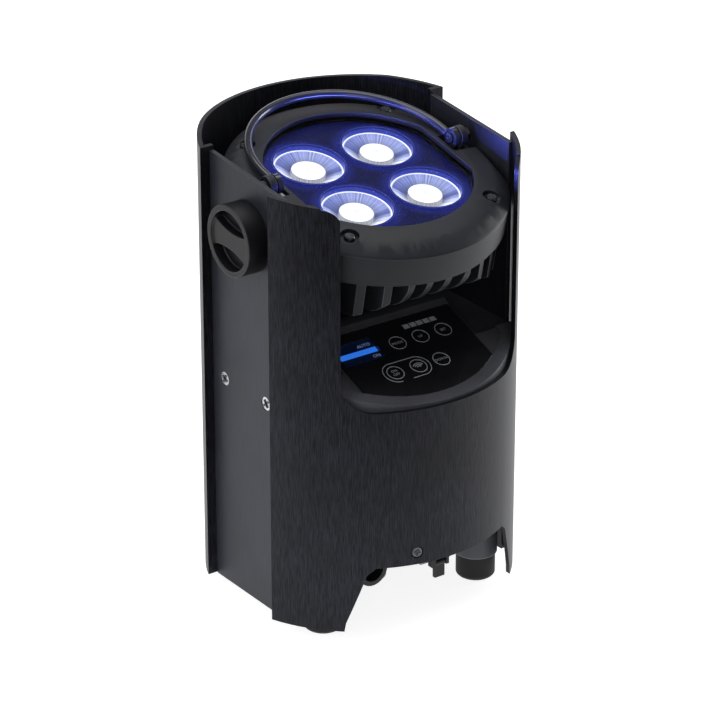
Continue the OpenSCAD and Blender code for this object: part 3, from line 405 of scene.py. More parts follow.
def lit_optic(name, power):
    material, tree = blank_material(name)
    flat = tree.nodes.new("ShaderNodeUVMap")
    flat.label = "flat map, rim at 1"
    flat.uv_map = "optic"
    split = tree.nodes.new("ShaderNodeSeparateXYZ")
    split.label = "across and along"
    angle = tree.nodes.new("ShaderNodeMath")
    angle.label = "angle round the optic"
    angle.operation = "ARCTAN2"
    reach = tree.nodes.new("ShaderNodeVectorMath")
    reach.label = "distance from the middle"
    reach.operation = "LENGTH"
    streak = tree.nodes.new("ShaderNodeTexNoise")
    streak.label = "streaks down the cone"
    streak.noise_dimensions = "1D"
    streak.inputs["Scale"].default_value = 17.0
    streak.inputs["Detail"].default_value = 4.0
    streak.inputs["Roughness"].default_value = 0.7
    contrast = tree.nodes.new("ShaderNodeMapRange")
    contrast.label = "streak contrast"
    contrast.inputs["From Min"].default_value = 0.32
    contrast.inputs["From Max"].default_value = 0.68
    contrast.inputs["To Min"].default_value = 0.25
    contrast.inputs["To Max"].default_value = 1.5
    turned = tree.nodes.new("ShaderNodeMath")
    turned.label = "angle from the bright side"
    turned.operation = "ADD"
    turned.inputs[1].default_value = BRIGHT_SIDE
    swing = tree.nodes.new("ShaderNodeMath")
    swing.label = "bright side to far side"
    swing.operation = "COSINE"
    half = tree.nodes.new("ShaderNodeMath")
    half.label = "0 far, 1 near"
    half.operation = "MULTIPLY_ADD"
    half.inputs[1].default_value = 0.5
    half.inputs[2].default_value = 0.5
    wall = tree.nodes.new("ShaderNodeValToRGB")
    wall.label = "wall colour round the optic"
    wall.color_ramp.elements[0].position = 0.0
    wall.color_ramp.elements[0].color = (0.20, 0.24, 0.52, 1)
    wall.color_ramp.elements[1].position = 1.0
    wall.color_ramp.elements[1].color = (1, 1, 1, 1)
    for position, colour in WALL_STEPS:
        wall.color_ramp.elements.new(position).color = (*colour, 1)
    brighter = tree.nodes.new("ShaderNodeMapRange")
    brighter.label = "brighter towards the rim"
    brighter.inputs["From Min"].default_value = 0.50
    brighter.inputs["From Max"].default_value = 0.78
    brighter.inputs["To Min"].default_value = 0.30
    brighter.inputs["To Max"].default_value = 1.15
    strength = tree.nodes.new("ShaderNodeMath")
    strength.label = "streaks times rise"
    strength.operation = "MULTIPLY"
    streaked = tree.nodes.new("ShaderNodeVectorMath")
    streaked.label = "wall times streaks"
    streaked.operation = "SCALE"
    zones = tree.nodes.new("ShaderNodeValToRGB")
    zones.label = "grey middle, white core and rim"
    zones.color_ramp.elements[0].position = 0.0
    zones.color_ramp.elements[0].color = (0.82, 0.82, 0.84, 1)
    zones.color_ramp.elements[1].position = 0.25
    zones.color_ramp.elements[1].color = (1, 1, 1, 1)
    mask = tree.nodes.new("ShaderNodeValToRGB")
    mask.label = "where the wall is"
    mask.color_ramp.elements[0].position = 0.478
    mask.color_ramp.elements[0].color = (0, 0, 0, 1)
    mask.color_ramp.elements[1].position = 0.97
    mask.color_ramp.elements[1].color = (0, 0, 0, 1)
    for position, level in ((0.490, 1.0), (0.93, 1.0)):
        mask.color_ramp.elements.new(position).color = (level, level, level, 1)
    glow = tree.nodes.new("ShaderNodeMix")
    glow.label = "wall or core and rim"
    glow.data_type = "RGBA"
    shader = tree.nodes.new("ShaderNodeBsdfPrincipled")
    shader.label = "clear moulded optic"
    shader.inputs["Base Color"].default_value = (0.10, 0.11, 0.16, 1)
    shader.inputs["Roughness"].default_value = 0.12
    shader.inputs["Emission Strength"].default_value = power
    out = tree.nodes.new("ShaderNodeOutputMaterial")
    lay_out(tree, {
        "Map": [flat, split, angle, reach],
        "Streaks": [streak, contrast, brighter, strength],
        "Wall": [turned, swing, half, wall, streaked],
        "Zones": [zones, mask, glow],
        "Surface": [shader, out],
    })
    tree.links.new(flat.outputs["UV"], split.inputs["Vector"])
    tree.links.new(split.outputs["Y"], angle.inputs[0])
    tree.links.new(split.outputs["X"], angle.inputs[1])
    tree.links.new(flat.outputs["UV"], reach.inputs[0])
    tree.links.new(angle.outputs["Value"], streak.inputs["W"])
    tree.links.new(streak.outputs["Fac"], contrast.inputs["Value"])
    tree.links.new(angle.outputs["Value"], turned.inputs[0])
    tree.links.new(turned.outputs["Value"], swing.inputs[0])
    tree.links.new(swing.outputs["Value"], half.inputs[0])
    tree.links.new(half.outputs["Value"], wall.inputs["Fac"])
    tree.links.new(wall.outputs["Color"], streaked.inputs[0])
    tree.links.new(reach.outputs["Value"], brighter.inputs["Value"])
    tree.links.new(contrast.outputs["Result"], strength.inputs[0])
    tree.links.new(brighter.outputs["Result"], strength.inputs[1])
    tree.links.new(strength.outputs["Value"], streaked.inputs["Scale"])
    tree.links.new(reach.outputs["Value"], zones.inputs["Fac"])
    tree.links.new(reach.outputs["Value"], mask.inputs["Fac"])
    tree.links.new(mask.outputs["Color"], glow.inputs["Factor"])
    tree.links.new(zones.outputs["Color"], glow.inputs["A"])
    tree.links.new(streaked.outputs["Vector"], glow.inputs["B"])
    tree.links.new(glow.outputs["Result"], shader.inputs["Emission Color"])
    tree.links.new(shader.outputs["BSDF"], out.inputs["Surface"])
    return material


LENS_CLEAR = lit_optic("lens_clear", 1.14)

# %% [markdown]
# The plate between the optics is dark blue-black, and light that leaks from the cones makes it glow
# near them. One Mapping node turns the pattern into the head's own frame. There, Absolute folds the
# four optics onto one, and the distance to it sets the glow.

# %% Glowing plate material
def glowing_plate(name, colour, glow_colour, power, start, end):
    material, tree = blank_material(name)
    place = tree.nodes.new("ShaderNodeTexCoord")
    place.label = "position on the plate"
    level = tree.nodes.new("ShaderNodeMapping")
    level.label = "into the head's frame"
    level.vector_type = "TEXTURE"
    level.inputs["Location"].default_value = TILT_AXLE
    level.inputs["Rotation"].default_value = (HEAD_TILT, 0, 0)
    fold = tree.nodes.new("ShaderNodeVectorMath")
    fold.label = "fold four optics onto one"
    fold.operation = "ABSOLUTE"
    centre = tree.nodes.new("ShaderNodeVectorMath")
    centre.label = "from the middle of the optic"
    centre.operation = "SUBTRACT"
    centre.inputs[1].default_value = (LENS_AT * MM, LENS_AT * MM, 0)
    flatten = tree.nodes.new("ShaderNodeVectorMath")
    flatten.label = "height does not count"
    flatten.operation = "MULTIPLY"
    flatten.inputs[1].default_value = (1, 1, 0)
    reach = tree.nodes.new("ShaderNodeVectorMath")
    reach.label = "distance from the optic"
    reach.operation = "LENGTH"
    fall = tree.nodes.new("ShaderNodeMapRange")
    fall.label = "glow fades outwards"
    fall.interpolation_type = "SMOOTHERSTEP"
    fall.inputs["From Min"].default_value = start
    fall.inputs["From Max"].default_value = end
    fall.inputs["To Min"].default_value = power
    fall.inputs["To Max"].default_value = power * 0.26
    dust = tree.nodes.new("ShaderNodeTexVoronoi")
    dust.label = "dust lit by the lamps"
    dust.inputs["Scale"].default_value = 620.0
    speck = tree.nodes.new("ShaderNodeMapRange")
    speck.label = "small specks only"
    speck.inputs["From Min"].default_value = 0.16
    speck.inputs["From Max"].default_value = 0.05
    speck.inputs["To Min"].default_value = 1.0
    speck.inputs["To Max"].default_value = 9.0
    lit = tree.nodes.new("ShaderNodeMath")
    lit.label = "glow with dust"
    lit.operation = "MULTIPLY"
    shader = tree.nodes.new("ShaderNodeBsdfPrincipled")
    shader.label = "dark gloss plastic"
    shader.inputs["Specular IOR Level"].default_value = 0.2
    shader.inputs["Base Color"].default_value = (*colour, 1)
    shader.inputs["Roughness"].default_value = 0.22
    shader.inputs["Emission Color"].default_value = (*glow_colour, 1)
    out = tree.nodes.new("ShaderNodeOutputMaterial")
    lay_out(tree, {
        "Head frame": [place, level, fold, centre, flatten, reach],
        "Glow": [fall, dust, speck, lit],
        "Surface": [shader, out],
    })
    tree.links.new(place.outputs["Object"], level.inputs["Vector"])
    tree.links.new(level.outputs["Vector"], fold.inputs[0])
    tree.links.new(fold.outputs["Vector"], centre.inputs[0])
    tree.links.new(centre.outputs["Vector"], flatten.inputs[0])
    tree.links.new(flatten.outputs["Vector"], reach.inputs[0])
    tree.links.new(reach.outputs["Value"], fall.inputs["Value"])
    tree.links.new(place.outputs["Object"], dust.inputs["Vector"])
    tree.links.new(dust.outputs["Distance"], speck.inputs["Value"])
    tree.links.new(fall.outputs["Result"], lit.inputs[0])
    tree.links.new(speck.outputs["Result"], lit.inputs[1])
    tree.links.new(lit.outputs["Value"], shader.inputs["Emission Strength"])
    tree.links.new(shader.outputs["BSDF"], out.inputs["Surface"])
    return material


LENS_PLATE = glowing_plate("lens_plate", (0.004, 0.004, 0.016), (0.045, 0.065, 0.60), 0.30, 0.0180, 0.0280)

# %% [markdown]
# ## Glass, screen and ink
# The clear pane lets the light of the lamps through and shows soft reflections. The screen is a dark
# liquid crystal display with one bright blue row. The printed ink is pale and slightly broken.

# %% Clear pane, screen and ink materials
def clear_pane(name, tint):
    material, tree = blank_material(name)
    place = tree.nodes.new("ShaderNodeTexCoord")
    place.label = "position on the pane"
    smears = tree.nodes.new("ShaderNodeTexNoise")
    smears.label = "faint wiping marks"
    smears.inputs["Scale"].default_value = 60.0
    smears.inputs["Detail"].default_value = 3.0
    mapped_amount = tree.nodes.new("ShaderNodeMapRange")
    mapped_amount.label = "barely dulled"
    mapped_amount.inputs["To Min"].default_value = 0.0
    mapped_amount.inputs["To Max"].default_value = 0.03
    shader = tree.nodes.new("ShaderNodeBsdfPrincipled")
    shader.label = "glass"
    shader.inputs["Base Color"].default_value = (*tint, 1)
    shader.inputs["Transmission Weight"].default_value = 1.0
    shader.inputs["IOR"].default_value = 1.12
    out = tree.nodes.new("ShaderNodeOutputMaterial")
    lay_out(tree, {"Wiping marks": [place, smears, mapped_amount], "Surface": [shader, out]})
    tree.links.new(place.outputs["Object"], smears.inputs["Vector"])
    tree.links.new(smears.outputs["Fac"], mapped_amount.inputs["Value"])
    tree.links.new(mapped_amount.outputs["Result"], shader.inputs["Roughness"])
    tree.links.new(shader.outputs["BSDF"], out.inputs["Surface"])
    return material


def lit_print(name, colour, glow, power, broken):
    material, tree = blank_material(name)
    place = tree.nodes.new("ShaderNodeTexCoord")
    place.label = "position on the panel"
    gaps = tree.nodes.new("ShaderNodeTexNoise")
    gaps.label = "uneven ink or dots"
    gaps.inputs["Scale"].default_value = 2600.0
    gaps.inputs["Detail"].default_value = 2.0
    cover = tree.nodes.new("ShaderNodeMapRange")
    cover.label = "how solid it is"
    cover.inputs["From Min"].default_value = 0.35
    cover.inputs["From Max"].default_value = 0.55
    cover.inputs["To Min"].default_value = 1.0 - broken
    cover.inputs["To Max"].default_value = 1.0
    tone = tree.nodes.new("ShaderNodeVectorMath")
    tone.label = "colour times cover"
    tone.operation = "SCALE"
    tone.inputs[0].default_value = colour
    strength = tree.nodes.new("ShaderNodeMath")
    strength.label = "light times cover"
    strength.operation = "MULTIPLY"
    strength.inputs[1].default_value = power
    shader = tree.nodes.new("ShaderNodeBsdfPrincipled")
    shader.label = "ink or screen"
    shader.inputs["Roughness"].default_value = 0.45
    shader.inputs["Emission Color"].default_value = (*glow, 1)
    out = tree.nodes.new("ShaderNodeOutputMaterial")
    lay_out(tree, {"Cover": [place, gaps, cover, tone, strength], "Surface": [shader, out]})
    tree.links.new(place.outputs["Object"], gaps.inputs["Vector"])
    tree.links.new(gaps.outputs["Fac"], cover.inputs["Value"])
    tree.links.new(cover.outputs["Result"], tone.inputs["Scale"])
    tree.links.new(cover.outputs["Result"], strength.inputs[0])
    tree.links.new(tone.outputs["Vector"], shader.inputs["Base Color"])
    tree.links.new(strength.outputs["Value"], shader.inputs["Emission Strength"])
    tree.links.new(shader.outputs["BSDF"], out.inputs["Surface"])
    return material


HEAD_GLASS = clear_pane("head_glass", (0.93, 0.95, 1.0))
DISPLAY_WINDOW = clear_pane("display_window", (0.85, 0.88, 0.95))
DISPLAY = lit_print("display", (0.004, 0.008, 0.02), (0.01, 0.03, 0.12), 0.10, 0.2)
DISPLAY_ROW = lit_print("display_row", (0.02, 0.10, 0.40), (0.03, 0.20, 0.85), 0.85, 0.15)
DISPLAY_TEXT = lit_print("display_text", (0.2, 0.25, 0.35), (0.35, 0.45, 0.75), 0.35, 0.4)
KEY_INK = lit_print("key_ink", (0.50, 0.52, 0.54), (0.5, 0.5, 0.5), 0.0, 0.35)
LED_LIT = lit_print("led", (0.8, 0.8, 0.85), (0.7, 0.8, 1.0), 4.0, 0.1)
print("finishes made:", len(bpy.data.materials))

# %% [markdown]
# ## Softened edges
# No real edge is perfectly sharp: sheet metal is deburred and castings are blasted, and the thin
# bright line along each edge is what tells the eye that the part is solid. The CAD meshes are exact
# and sharp. A copy of each outer part is merged, its flat faces are joined, and a Bevel rounds every
# edge over a given angle. The new faces get an "edge" mark of 1, where the finishes put a painted
# highlight.
# Weighted normals then keep the large faces flat. The copy stands for the part, which stays hidden
# for collision.

# %% Make a softened copy that stands for a imported part
def plain_mesh(piece):
    """The piece with its modifiers applied, as a mesh of its own."""
    return bpy.data.meshes.new_from_object(piece.evaluated_get(bpy.context.evaluated_depsgraph_get()))


BEVEL_SEGMENTS = 2
BEVEL_OVER = math.radians(30)
FLAT_WITHIN = math.radians(0.6)
ROUND_FACE = 1


def softened(node, body, slot, material, width):
    mesh = frame["nodes"][node].data.copy()
    mesh.materials.clear()
    mesh.materials.append(material)
    mesh.materials.append(material)
    shape = bmesh.new()
    shape.from_mesh(mesh)
    bmesh.ops.remove_doubles(shape, verts=shape.verts, dist=0.02 * MM)
    bmesh.ops.dissolve_degenerate(shape, edges=shape.edges, dist=0.01 * MM)
    bmesh.ops.dissolve_limit(shape, angle_limit=FLAT_WITHIN, verts=shape.verts, edges=shape.edges)
    shape.to_mesh(mesh)
    shape.free()
    mesh.shade_smooth()
    rough_piece = bpy.data.objects.new(node + "_rough", mesh)
    bpy.context.collection.objects.link(rough_piece)
    bevel = rough_piece.modifiers.new("deburred edges", "BEVEL")
    bevel.width = width * MM
    bevel.segments = BEVEL_SEGMENTS
    bevel.limit_method = "ANGLE"
    bevel.angle_limit = BEVEL_OVER
    bevel.miter_outer = "MITER_ARC"
    bevel.material = ROUND_FACE
    shading = rough_piece.modifiers.new("flat faces stay flat", "WEIGHTED_NORMAL")
    shading.mode = "FACE_AREA"
    shading.weight = 100
    flat = plain_mesh(rough_piece)
    bpy.data.objects.remove(rough_piece)
    edge = flat.attributes.new("edge", "FLOAT", "FACE")
    edge.data.foreach_set("value", [float(face.material_index == ROUND_FACE) for face in flat.polygons])
    flat.polygons.foreach_set("material_index", [0] * len(flat.polygons))
    return finished(node + "_part", flat, body, slot, material, node)


def finished(name, mesh, body, slot, material, *nodes):
    """Makes a mesh an object at the origin that rides on its body, with the given finish. Slot is not used.
    """
    mesh.materials.clear()
    mesh.materials.append(material)
    piece = bpy.data.objects.new(name, mesh)
    bpy.context.collection.objects.link(piece)
    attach(piece, body)
    if nodes:
        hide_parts(*nodes)
    return piece


# %% [markdown]
# ## The parts whose edges show
# Folded sheet has a small radius at its edges, moulded plastic a larger one and a printed overlay
# hardly any, so each part is listed with its own bevel width in millimetres.

# %% The sheet metal, the case, the base, the head and the knobs
for node, body, slot, material, width in (
    ("front_shell", "housing", "anodised_shell", ANODISED_SHELL, 0.35),
    ("rear_shell", "housing", "anodised_shell", ANODISED_SHELL, 0.35),
    ("side_plate_left", "housing", "anodised_plate", ANODISED_PLATE, 0.35),
    ("side_plate_right", "housing", "anodised_plate", ANODISED_PLATE, 0.35),
    ("control_housing", "housing", "case_plastic", CASE_PLASTIC, 0.7),
    ("panel_overlay", "housing", "overlay", OVERLAY, 0.15),
    ("base_plate", "housing", "base_paint", BASE_PAINT, 0.3),
    ("foot_columns", "housing", "case_plastic", CASE_PLASTIC, 0.5),
    ("rubber_feet", "housing", "foot_rubber", FOOT_RUBBER, 0.6),
    ("connector_bracket", "housing", "base_paint", BASE_PAINT, 0.25),
    ("inlet_flange", "housing", "socket_flange", SOCKET_FLANGE, 0.3),
    ("outlet_flange", "housing", "socket_flange", SOCKET_FLANGE, 0.3),
    ("inlet_body", "housing", "socket_black", SOCKET_BLACK, 0.3),
    ("outlet_body", "housing", "socket_black", SOCKET_BLACK, 0.3),
    ("data_socket", "housing", "socket_metal", SOCKET_METAL, 0.25),
    ("switch_frame", "housing", "socket_black", SOCKET_BLACK, 0.3),
    ("switch_rocker", "rocker", "socket_black", SOCKET_BLACK, 0.3),
    ("outlet_latch", "latch", "socket_black", SOCKET_BLACK, 0.4),
    ("head_bezel", "head", "head_casting", HEAD_CASTING, 0.45),
    ("heatsink", "head", "head_casting", HEAD_CASTING, 0.3),
    ("cooling_fins", "head", "head_casting", HEAD_CASTING, 0.35),
    ("handle_brackets", "head", "head_casting", HEAD_CASTING, 0.5),
    ("handle_rod", "handle", "handle_gloss", HANDLE_GLOSS, 0.5),
    ("handle_bolts", "head", "black_screw", BLACK_SCREW, 0.2),
    ("knob_left", "left_knob", "knob_plastic", KNOB_PLASTIC, 0.7),
    ("knob_right", "right_knob", "knob_plastic", KNOB_PLASTIC, 0.7),
):
    part = softened(node, body, slot, material, width)
    print(f"{part.name}: {len(part.data.polygons)} faces")

# %% [markdown]
# ## Revolved shapes
# An optic is turned: an outline swept round its own axis. The outline runs from the axis to the axis,
# or closes on itself for a ring, so that the result is a closed solid. Each outline is swept at all
# four lens places, and corners sharper than a given angle stay sharp.

# %% Revolve an outline at the four lens places
TURNED_SIDES = 96
SHARP_OVER = math.radians(40)
ON_AXIS = 1e-6


def revolve(shape, outline, place):
    rings = []
    for radius, height in outline:
        count = TURNED_SIDES if radius > ON_AXIS else 1
        ring = []
        for k in range(count):
            turn = 2 * math.pi * k / TURNED_SIDES
            at = Vector((radius * math.cos(turn), radius * math.sin(turn), height))
            ring.append(shape.verts.new(place @ at))
        rings.append(ring)
    pairs = list(zip(rings, rings[1:]))
    if outline[0][0] > ON_AXIS:
        pairs.append((rings[-1], rings[0]))
    for low, high in pairs:
        for k in range(TURNED_SIDES):
            n = (k + 1) % TURNED_SIDES
            corners = [low[k % len(low)], low[n % len(low)], high[n % len(high)], high[k % len(high)]]
            shape.faces.new(list(dict.fromkeys(corners)))


def turned_at_lenses(outline):
    shape = bmesh.new()
    for x, y in LENS_CENTRES:
        revolve(shape, outline, ON_HEAD @ Matrix.Translation((x, y, 0)))
    bmesh.ops.recalc_face_normals(shape, faces=shape.faces)
    return shape


def smooth_mesh(name, shape):
    for face in shape.faces:
        face.smooth = True
    mesh = bpy.data.meshes.new(name)
    shape.to_mesh(mesh)
    shape.free()
    mesh.set_sharp_from_angle(angle=SHARP_OVER)
    return mesh


# %% [markdown]
# ## The four optics
# Each optic sits a little below the dark plate, in a round well. Its wall falls from the rim to a
# narrow groove. Inside the groove the white core stands up nearly to the rim, slightly domed. The
# flat map for the light pattern is written while the mesh is made.

# %% Optics and wells
def optic_mesh():
    outline = [
        (0, 7.6), (6.6, 7.6), (17.6, 13.1), (18.7, 13.5), (18.75, 14.5), (18.4, 14.7), (17.9, 14.5),
        (14.0, 12.9), (10.2, 11.0), (9.9, 10.9), (9.7, 11.0), (9.5, 13.2), (9.2, 13.6), (6.2, 14.1),
        (3.2, 14.3), (0, 14.4),
    ]
    shape = turned_at_lenses(outline)
    flat_map = shape.loops.layers.uv.new("optic")
    to_head = ON_HEAD.inverted()
    for face in shape.faces:
        for loop in face.loops:
            at = to_head @ loop.vert.co
            centre_x = math.copysign(LENS_AT, at.x)
            centre_y = math.copysign(LENS_AT, at.y)
            loop[flat_map].uv = ((at.x - centre_x) / LENS_RADIUS, (at.y - centre_y) / LENS_RADIUS)
    return smooth_mesh("lens_optics", shape)


finished("lens_optics", optic_mesh(), "head", "lens_clear", LENS_CLEAR, "lenses")


def well_mesh():
    """Short tubes from the dark plate down to the rims of the optics, slightly flared."""
    outline = [(18.95, 13.6), (19.0, 16.6), (19.3, 17.45), (20.0, 17.7), (20.65, 17.3), (20.65, 13.6)]
    return smooth_mesh("lens_wells", turned_at_lenses(outline))


WELL_GLOW = glowing_plate("well_glow", (0.01, 0.012, 0.05), (0.075, 0.12, 0.85), 0.45, 0.0190, 0.0212)
finished("lens_wells", well_mesh(), "head", "lens_plate", WELL_GLOW)
print("optics:", len(LENS_CENTRES), "of radius", LENS_RADIUS, "mm")

# %% [markdown]
# ## Screws, by Geometry Nodes
# All the screws are one rule: a head with a bevelled rim and a cross cut into it, standing at a point
# and facing a direction. So one node tree makes them all. A mesh of bare points says where; its
# "facing" attribute says which way. The sizes are named inputs, and the tree ends in Realize
# Instances and Set Material, so the result is one plain mesh for each body.

# %% The screw tree
def screw_tree():
    tree = bpy.data.node_groups.new("cross_head_screws", "GeometryNodeTree")
    face = tree.interface
    face.new_socket("Points", in_out="INPUT", socket_type="NodeSocketGeometry")
    for title in ("Head Radius", "Head Height", "Rim Width", "Slot Length", "Slot Width", "Slot Depth"):
        face.new_socket(title, in_out="INPUT", socket_type="NodeSocketFloat")
    face.new_socket("Finish", in_out="INPUT", socket_type="NodeSocketMaterial")
    face.new_socket("Geometry", in_out="OUTPUT", socket_type="NodeSocketGeometry")
    start = tree.nodes.new("NodeGroupInput")
    end = tree.nodes.new("NodeGroupOutput")
    body = tree.nodes.new("GeometryNodeMeshCylinder")
    body.label = "straight part of the head"
    body.inputs["Vertices"].default_value = 32
    crown_radius = tree.nodes.new("ShaderNodeMath")
    crown_radius.label = "top radius inside the rim"
    crown_radius.operation = "SUBTRACT"
    body_height = tree.nodes.new("ShaderNodeMath")
    body_height.label = "height without the rim"
    body_height.operation = "SUBTRACT"
    body_middle = tree.nodes.new("ShaderNodeMath")
    body_middle.label = "middle of the straight part"
    body_middle.operation = "MULTIPLY_ADD"
    body_middle.inputs[1].default_value = -0.5
    negative_rim = tree.nodes.new("ShaderNodeMath")
    negative_rim.label = "rim starts this far down"
    negative_rim.operation = "MULTIPLY"
    negative_rim.inputs[1].default_value = -1.0
    body_at = tree.nodes.new("ShaderNodeCombineXYZ")
    body_shift = tree.nodes.new("GeometryNodeTransform")
    body_shift.label = "below the rim"
    crown = tree.nodes.new("GeometryNodeMeshCone")
    crown.label = "bevelled rim"
    crown.inputs["Vertices"].default_value = 32
    crown_at = tree.nodes.new("ShaderNodeCombineXYZ")
    crown_shift = tree.nodes.new("GeometryNodeTransform")
    crown_shift.label = "rim on top"
    whole = tree.nodes.new("GeometryNodeMeshBoolean")
    whole.label = "head in one piece"
    whole.operation = "UNION"
    slot_size = tree.nodes.new("ShaderNodeCombineXYZ")
    slot = tree.nodes.new("GeometryNodeMeshCube")
    slot.label = "one arm of the cross"
    arms = tree.nodes.new("GeometryNodeJoinGeometry")
    arms.label = "both arms"
    other_arm = tree.nodes.new("GeometryNodeTransform")
    other_arm.label = "quarter turn"
    other_arm.inputs["Rotation"].default_value = (0, 0, math.pi / 2)
    cut = tree.nodes.new("GeometryNodeMeshBoolean")
    cut.label = "cut the cross"
    cut.operation = "DIFFERENCE"
    facing = tree.nodes.new("GeometryNodeInputNamedAttribute")
    facing.label = "which way each screw faces"
    facing.data_type = "FLOAT_VECTOR"
    facing.inputs["Name"].default_value = "facing"
    turn = tree.nodes.new("FunctionNodeAlignRotationToVector")
    turn.label = "stand up along facing"
    spin = tree.nodes.new("FunctionNodeRandomValue")
    spin.label = "tightened at any angle"
    spin.data_type = "FLOAT"
    spin.inputs["Max"].default_value = 1.5
    spin.inputs["Seed"].default_value = 7
    own_turn = tree.nodes.new("ShaderNodeCombineXYZ")
    both_turns = tree.nodes.new("FunctionNodeRotateRotation")
    both_turns.label = "own turn first"
    both_turns.rotation_space = "LOCAL"
    scatter = tree.nodes.new("GeometryNodeInstanceOnPoints")
    scatter.label = "a screw at each point"
    real = tree.nodes.new("GeometryNodeRealizeInstances")
    paint = tree.nodes.new("GeometryNodeSetMaterial")
    lay_out(tree, {
        "Head": [start, crown_radius, body_height, negative_rim, body_middle, body, body_at, body_shift],
        "Rim": [crown, crown_at, crown_shift, whole],
        "Cross": [slot_size, slot, other_arm, arms, cut],
        "Placing": [facing, turn, spin, own_turn, both_turns, scatter, real, paint, end],
    })
    tree.links.new(start.outputs["Head Radius"], body.inputs["Radius"])
    tree.links.new(start.outputs["Head Radius"], crown_radius.inputs[0])
    tree.links.new(start.outputs["Rim Width"], crown_radius.inputs[1])
    tree.links.new(start.outputs["Head Height"], body_height.inputs[0])
    tree.links.new(start.outputs["Rim Width"], body_height.inputs[1])
    tree.links.new(body_height.outputs[0], body.inputs["Depth"])
    tree.links.new(start.outputs["Rim Width"], negative_rim.inputs[0])
    tree.links.new(body_height.outputs[0], body_middle.inputs[0])
    tree.links.new(negative_rim.outputs[0], body_middle.inputs[2])
    tree.links.new(body_middle.outputs[0], body_at.inputs["Z"])
    tree.links.new(body.outputs["Mesh"], body_shift.inputs["Geometry"])
    tree.links.new(body_at.outputs[0], body_shift.inputs["Translation"])
    tree.links.new(start.outputs["Head Radius"], crown.inputs["Radius Bottom"])
    tree.links.new(crown_radius.outputs[0], crown.inputs["Radius Top"])
    tree.links.new(start.outputs["Rim Width"], crown.inputs["Depth"])
    tree.links.new(negative_rim.outputs[0], crown_at.inputs["Z"])
    tree.links.new(crown.outputs["Mesh"], crown_shift.inputs["Geometry"])
    tree.links.new(crown_at.outputs[0], crown_shift.inputs["Translation"])
    tree.links.new(body_shift.outputs[0], whole.inputs["Mesh 2"])
    tree.links.new(crown_shift.outputs[0], whole.inputs["Mesh 2"])
    tree.links.new(start.outputs["Slot Length"], slot_size.inputs["X"])
    tree.links.new(start.outputs["Slot Width"], slot_size.inputs["Y"])
    tree.links.new(start.outputs["Slot Depth"], slot_size.inputs["Z"])
    tree.links.new(slot_size.outputs[0], slot.inputs["Size"])
    tree.links.new(slot.outputs["Mesh"], other_arm.inputs["Geometry"])
    tree.links.new(slot.outputs["Mesh"], arms.inputs["Geometry"])
    tree.links.new(other_arm.outputs[0], arms.inputs["Geometry"])
    tree.links.new(whole.outputs["Mesh"], cut.inputs["Mesh 1"])
    tree.links.new(arms.outputs[0], cut.inputs["Mesh 2"])
    tree.links.new(start.outputs["Points"], scatter.inputs["Points"])
    tree.links.new(cut.outputs["Mesh"], scatter.inputs["Instance"])
    tree.links.new(facing.outputs["Attribute"], turn.inputs["Vector"])
    tree.links.new(spin.outputs["Value"], own_turn.inputs["Z"])
    tree.links.new(turn.outputs["Rotation"], both_turns.inputs["Rotation"])
    tree.links.new(own_turn.outputs[0], both_turns.inputs["Rotate By"])
    tree.links.new(both_turns.outputs["Rotation"], scatter.inputs["Rotation"])
    tree.links.new(scatter.outputs["Instances"], real.inputs["Geometry"])
    tree.links.new(real.outputs["Geometry"], paint.inputs["Geometry"])
    tree.links.new(start.outputs["Finish"], paint.inputs["Material"])
    tree.links.new(paint.outputs["Geometry"], end.inputs["Geometry"])
    return tree


SCREW_TREE = screw_tree()
print("screw tree:", len(SCREW_TREE.nodes), "nodes")

# %% [markdown]
# ## Growing the screws
# The tree is run once for each kind of screw. Its sizes are set by the identifier of each socket,
# before the points are first evaluated, and what comes out is a plain mesh with no modifier left.

# %% Place one kind of screw and turn the result into a plain mesh
def grown(name, tree, points_mesh, sizes):
    """Runs a tree on a mesh of points with its inputs set by identifier, and returns a plain mesh."""
    seed = bpy.data.objects.new(name + "_seed", points_mesh)
    bpy.context.collection.objects.link(seed)
    modifier = seed.modifiers.new("nodes", "NODES")
    modifier.node_group = tree
    for item in tree.interface.items_tree:
        if item.item_type == "SOCKET" and item.in_out == "INPUT" and item.name in sizes:
            modifier[item.identifier] = sizes[item.name]
    grown_mesh = plain_mesh(seed)
    grown_mesh.name = name
    seed.modifiers.remove(modifier)
    bpy.data.objects.remove(seed)
    return grown_mesh


def facing_points(name, spots):
    """A mesh of loose points; each spot is a place and the direction that its screw faces."""
    mesh = bpy.data.meshes.new(name)
    mesh.from_pydata([place for place, _ in spots], [], [])
    facing = mesh.attributes.new("facing", "FLOAT_VECTOR", "POINT")
    for row, (_, direction) in zip(facing.data, spots):
        row.vector = direction
    return mesh


def screws(name, node, body, slot, material, spots, radius, height):
    sizes = {
        "Head Radius": radius * MM, "Head Height": height * MM, "Rim Width": 0.45 * MM,
        "Slot Length": 1.3 * radius * MM, "Slot Width": 0.27 * radius * MM, "Slot Depth": 1.2 * height * MM,
        "Finish": material,
    }
    mesh = grown(name, SCREW_TREE, facing_points(name + "_points", spots), sizes)
    piece = finished(name, mesh, body, slot, material, node)
    print(f"{name}: {len(spots)} screws, {len(mesh.polygons)} faces")
    return piece


SHELL_RADIUS = 85
SHELL_SCREW_SUNK = 0.3
PLATE_FACE = 73.05
PLATE_SCREW_HEIGHT = 130
BASE_UNDERSIDE = 45
COVER_SCREW_CIRCLE = 24


def on_head(x, y, z, direction=(0, 0, 1)):
    return ON_HEAD @ Vector((x, y, z)), (ON_HEAD.to_3x3() @ Vector(direction)).normalized()


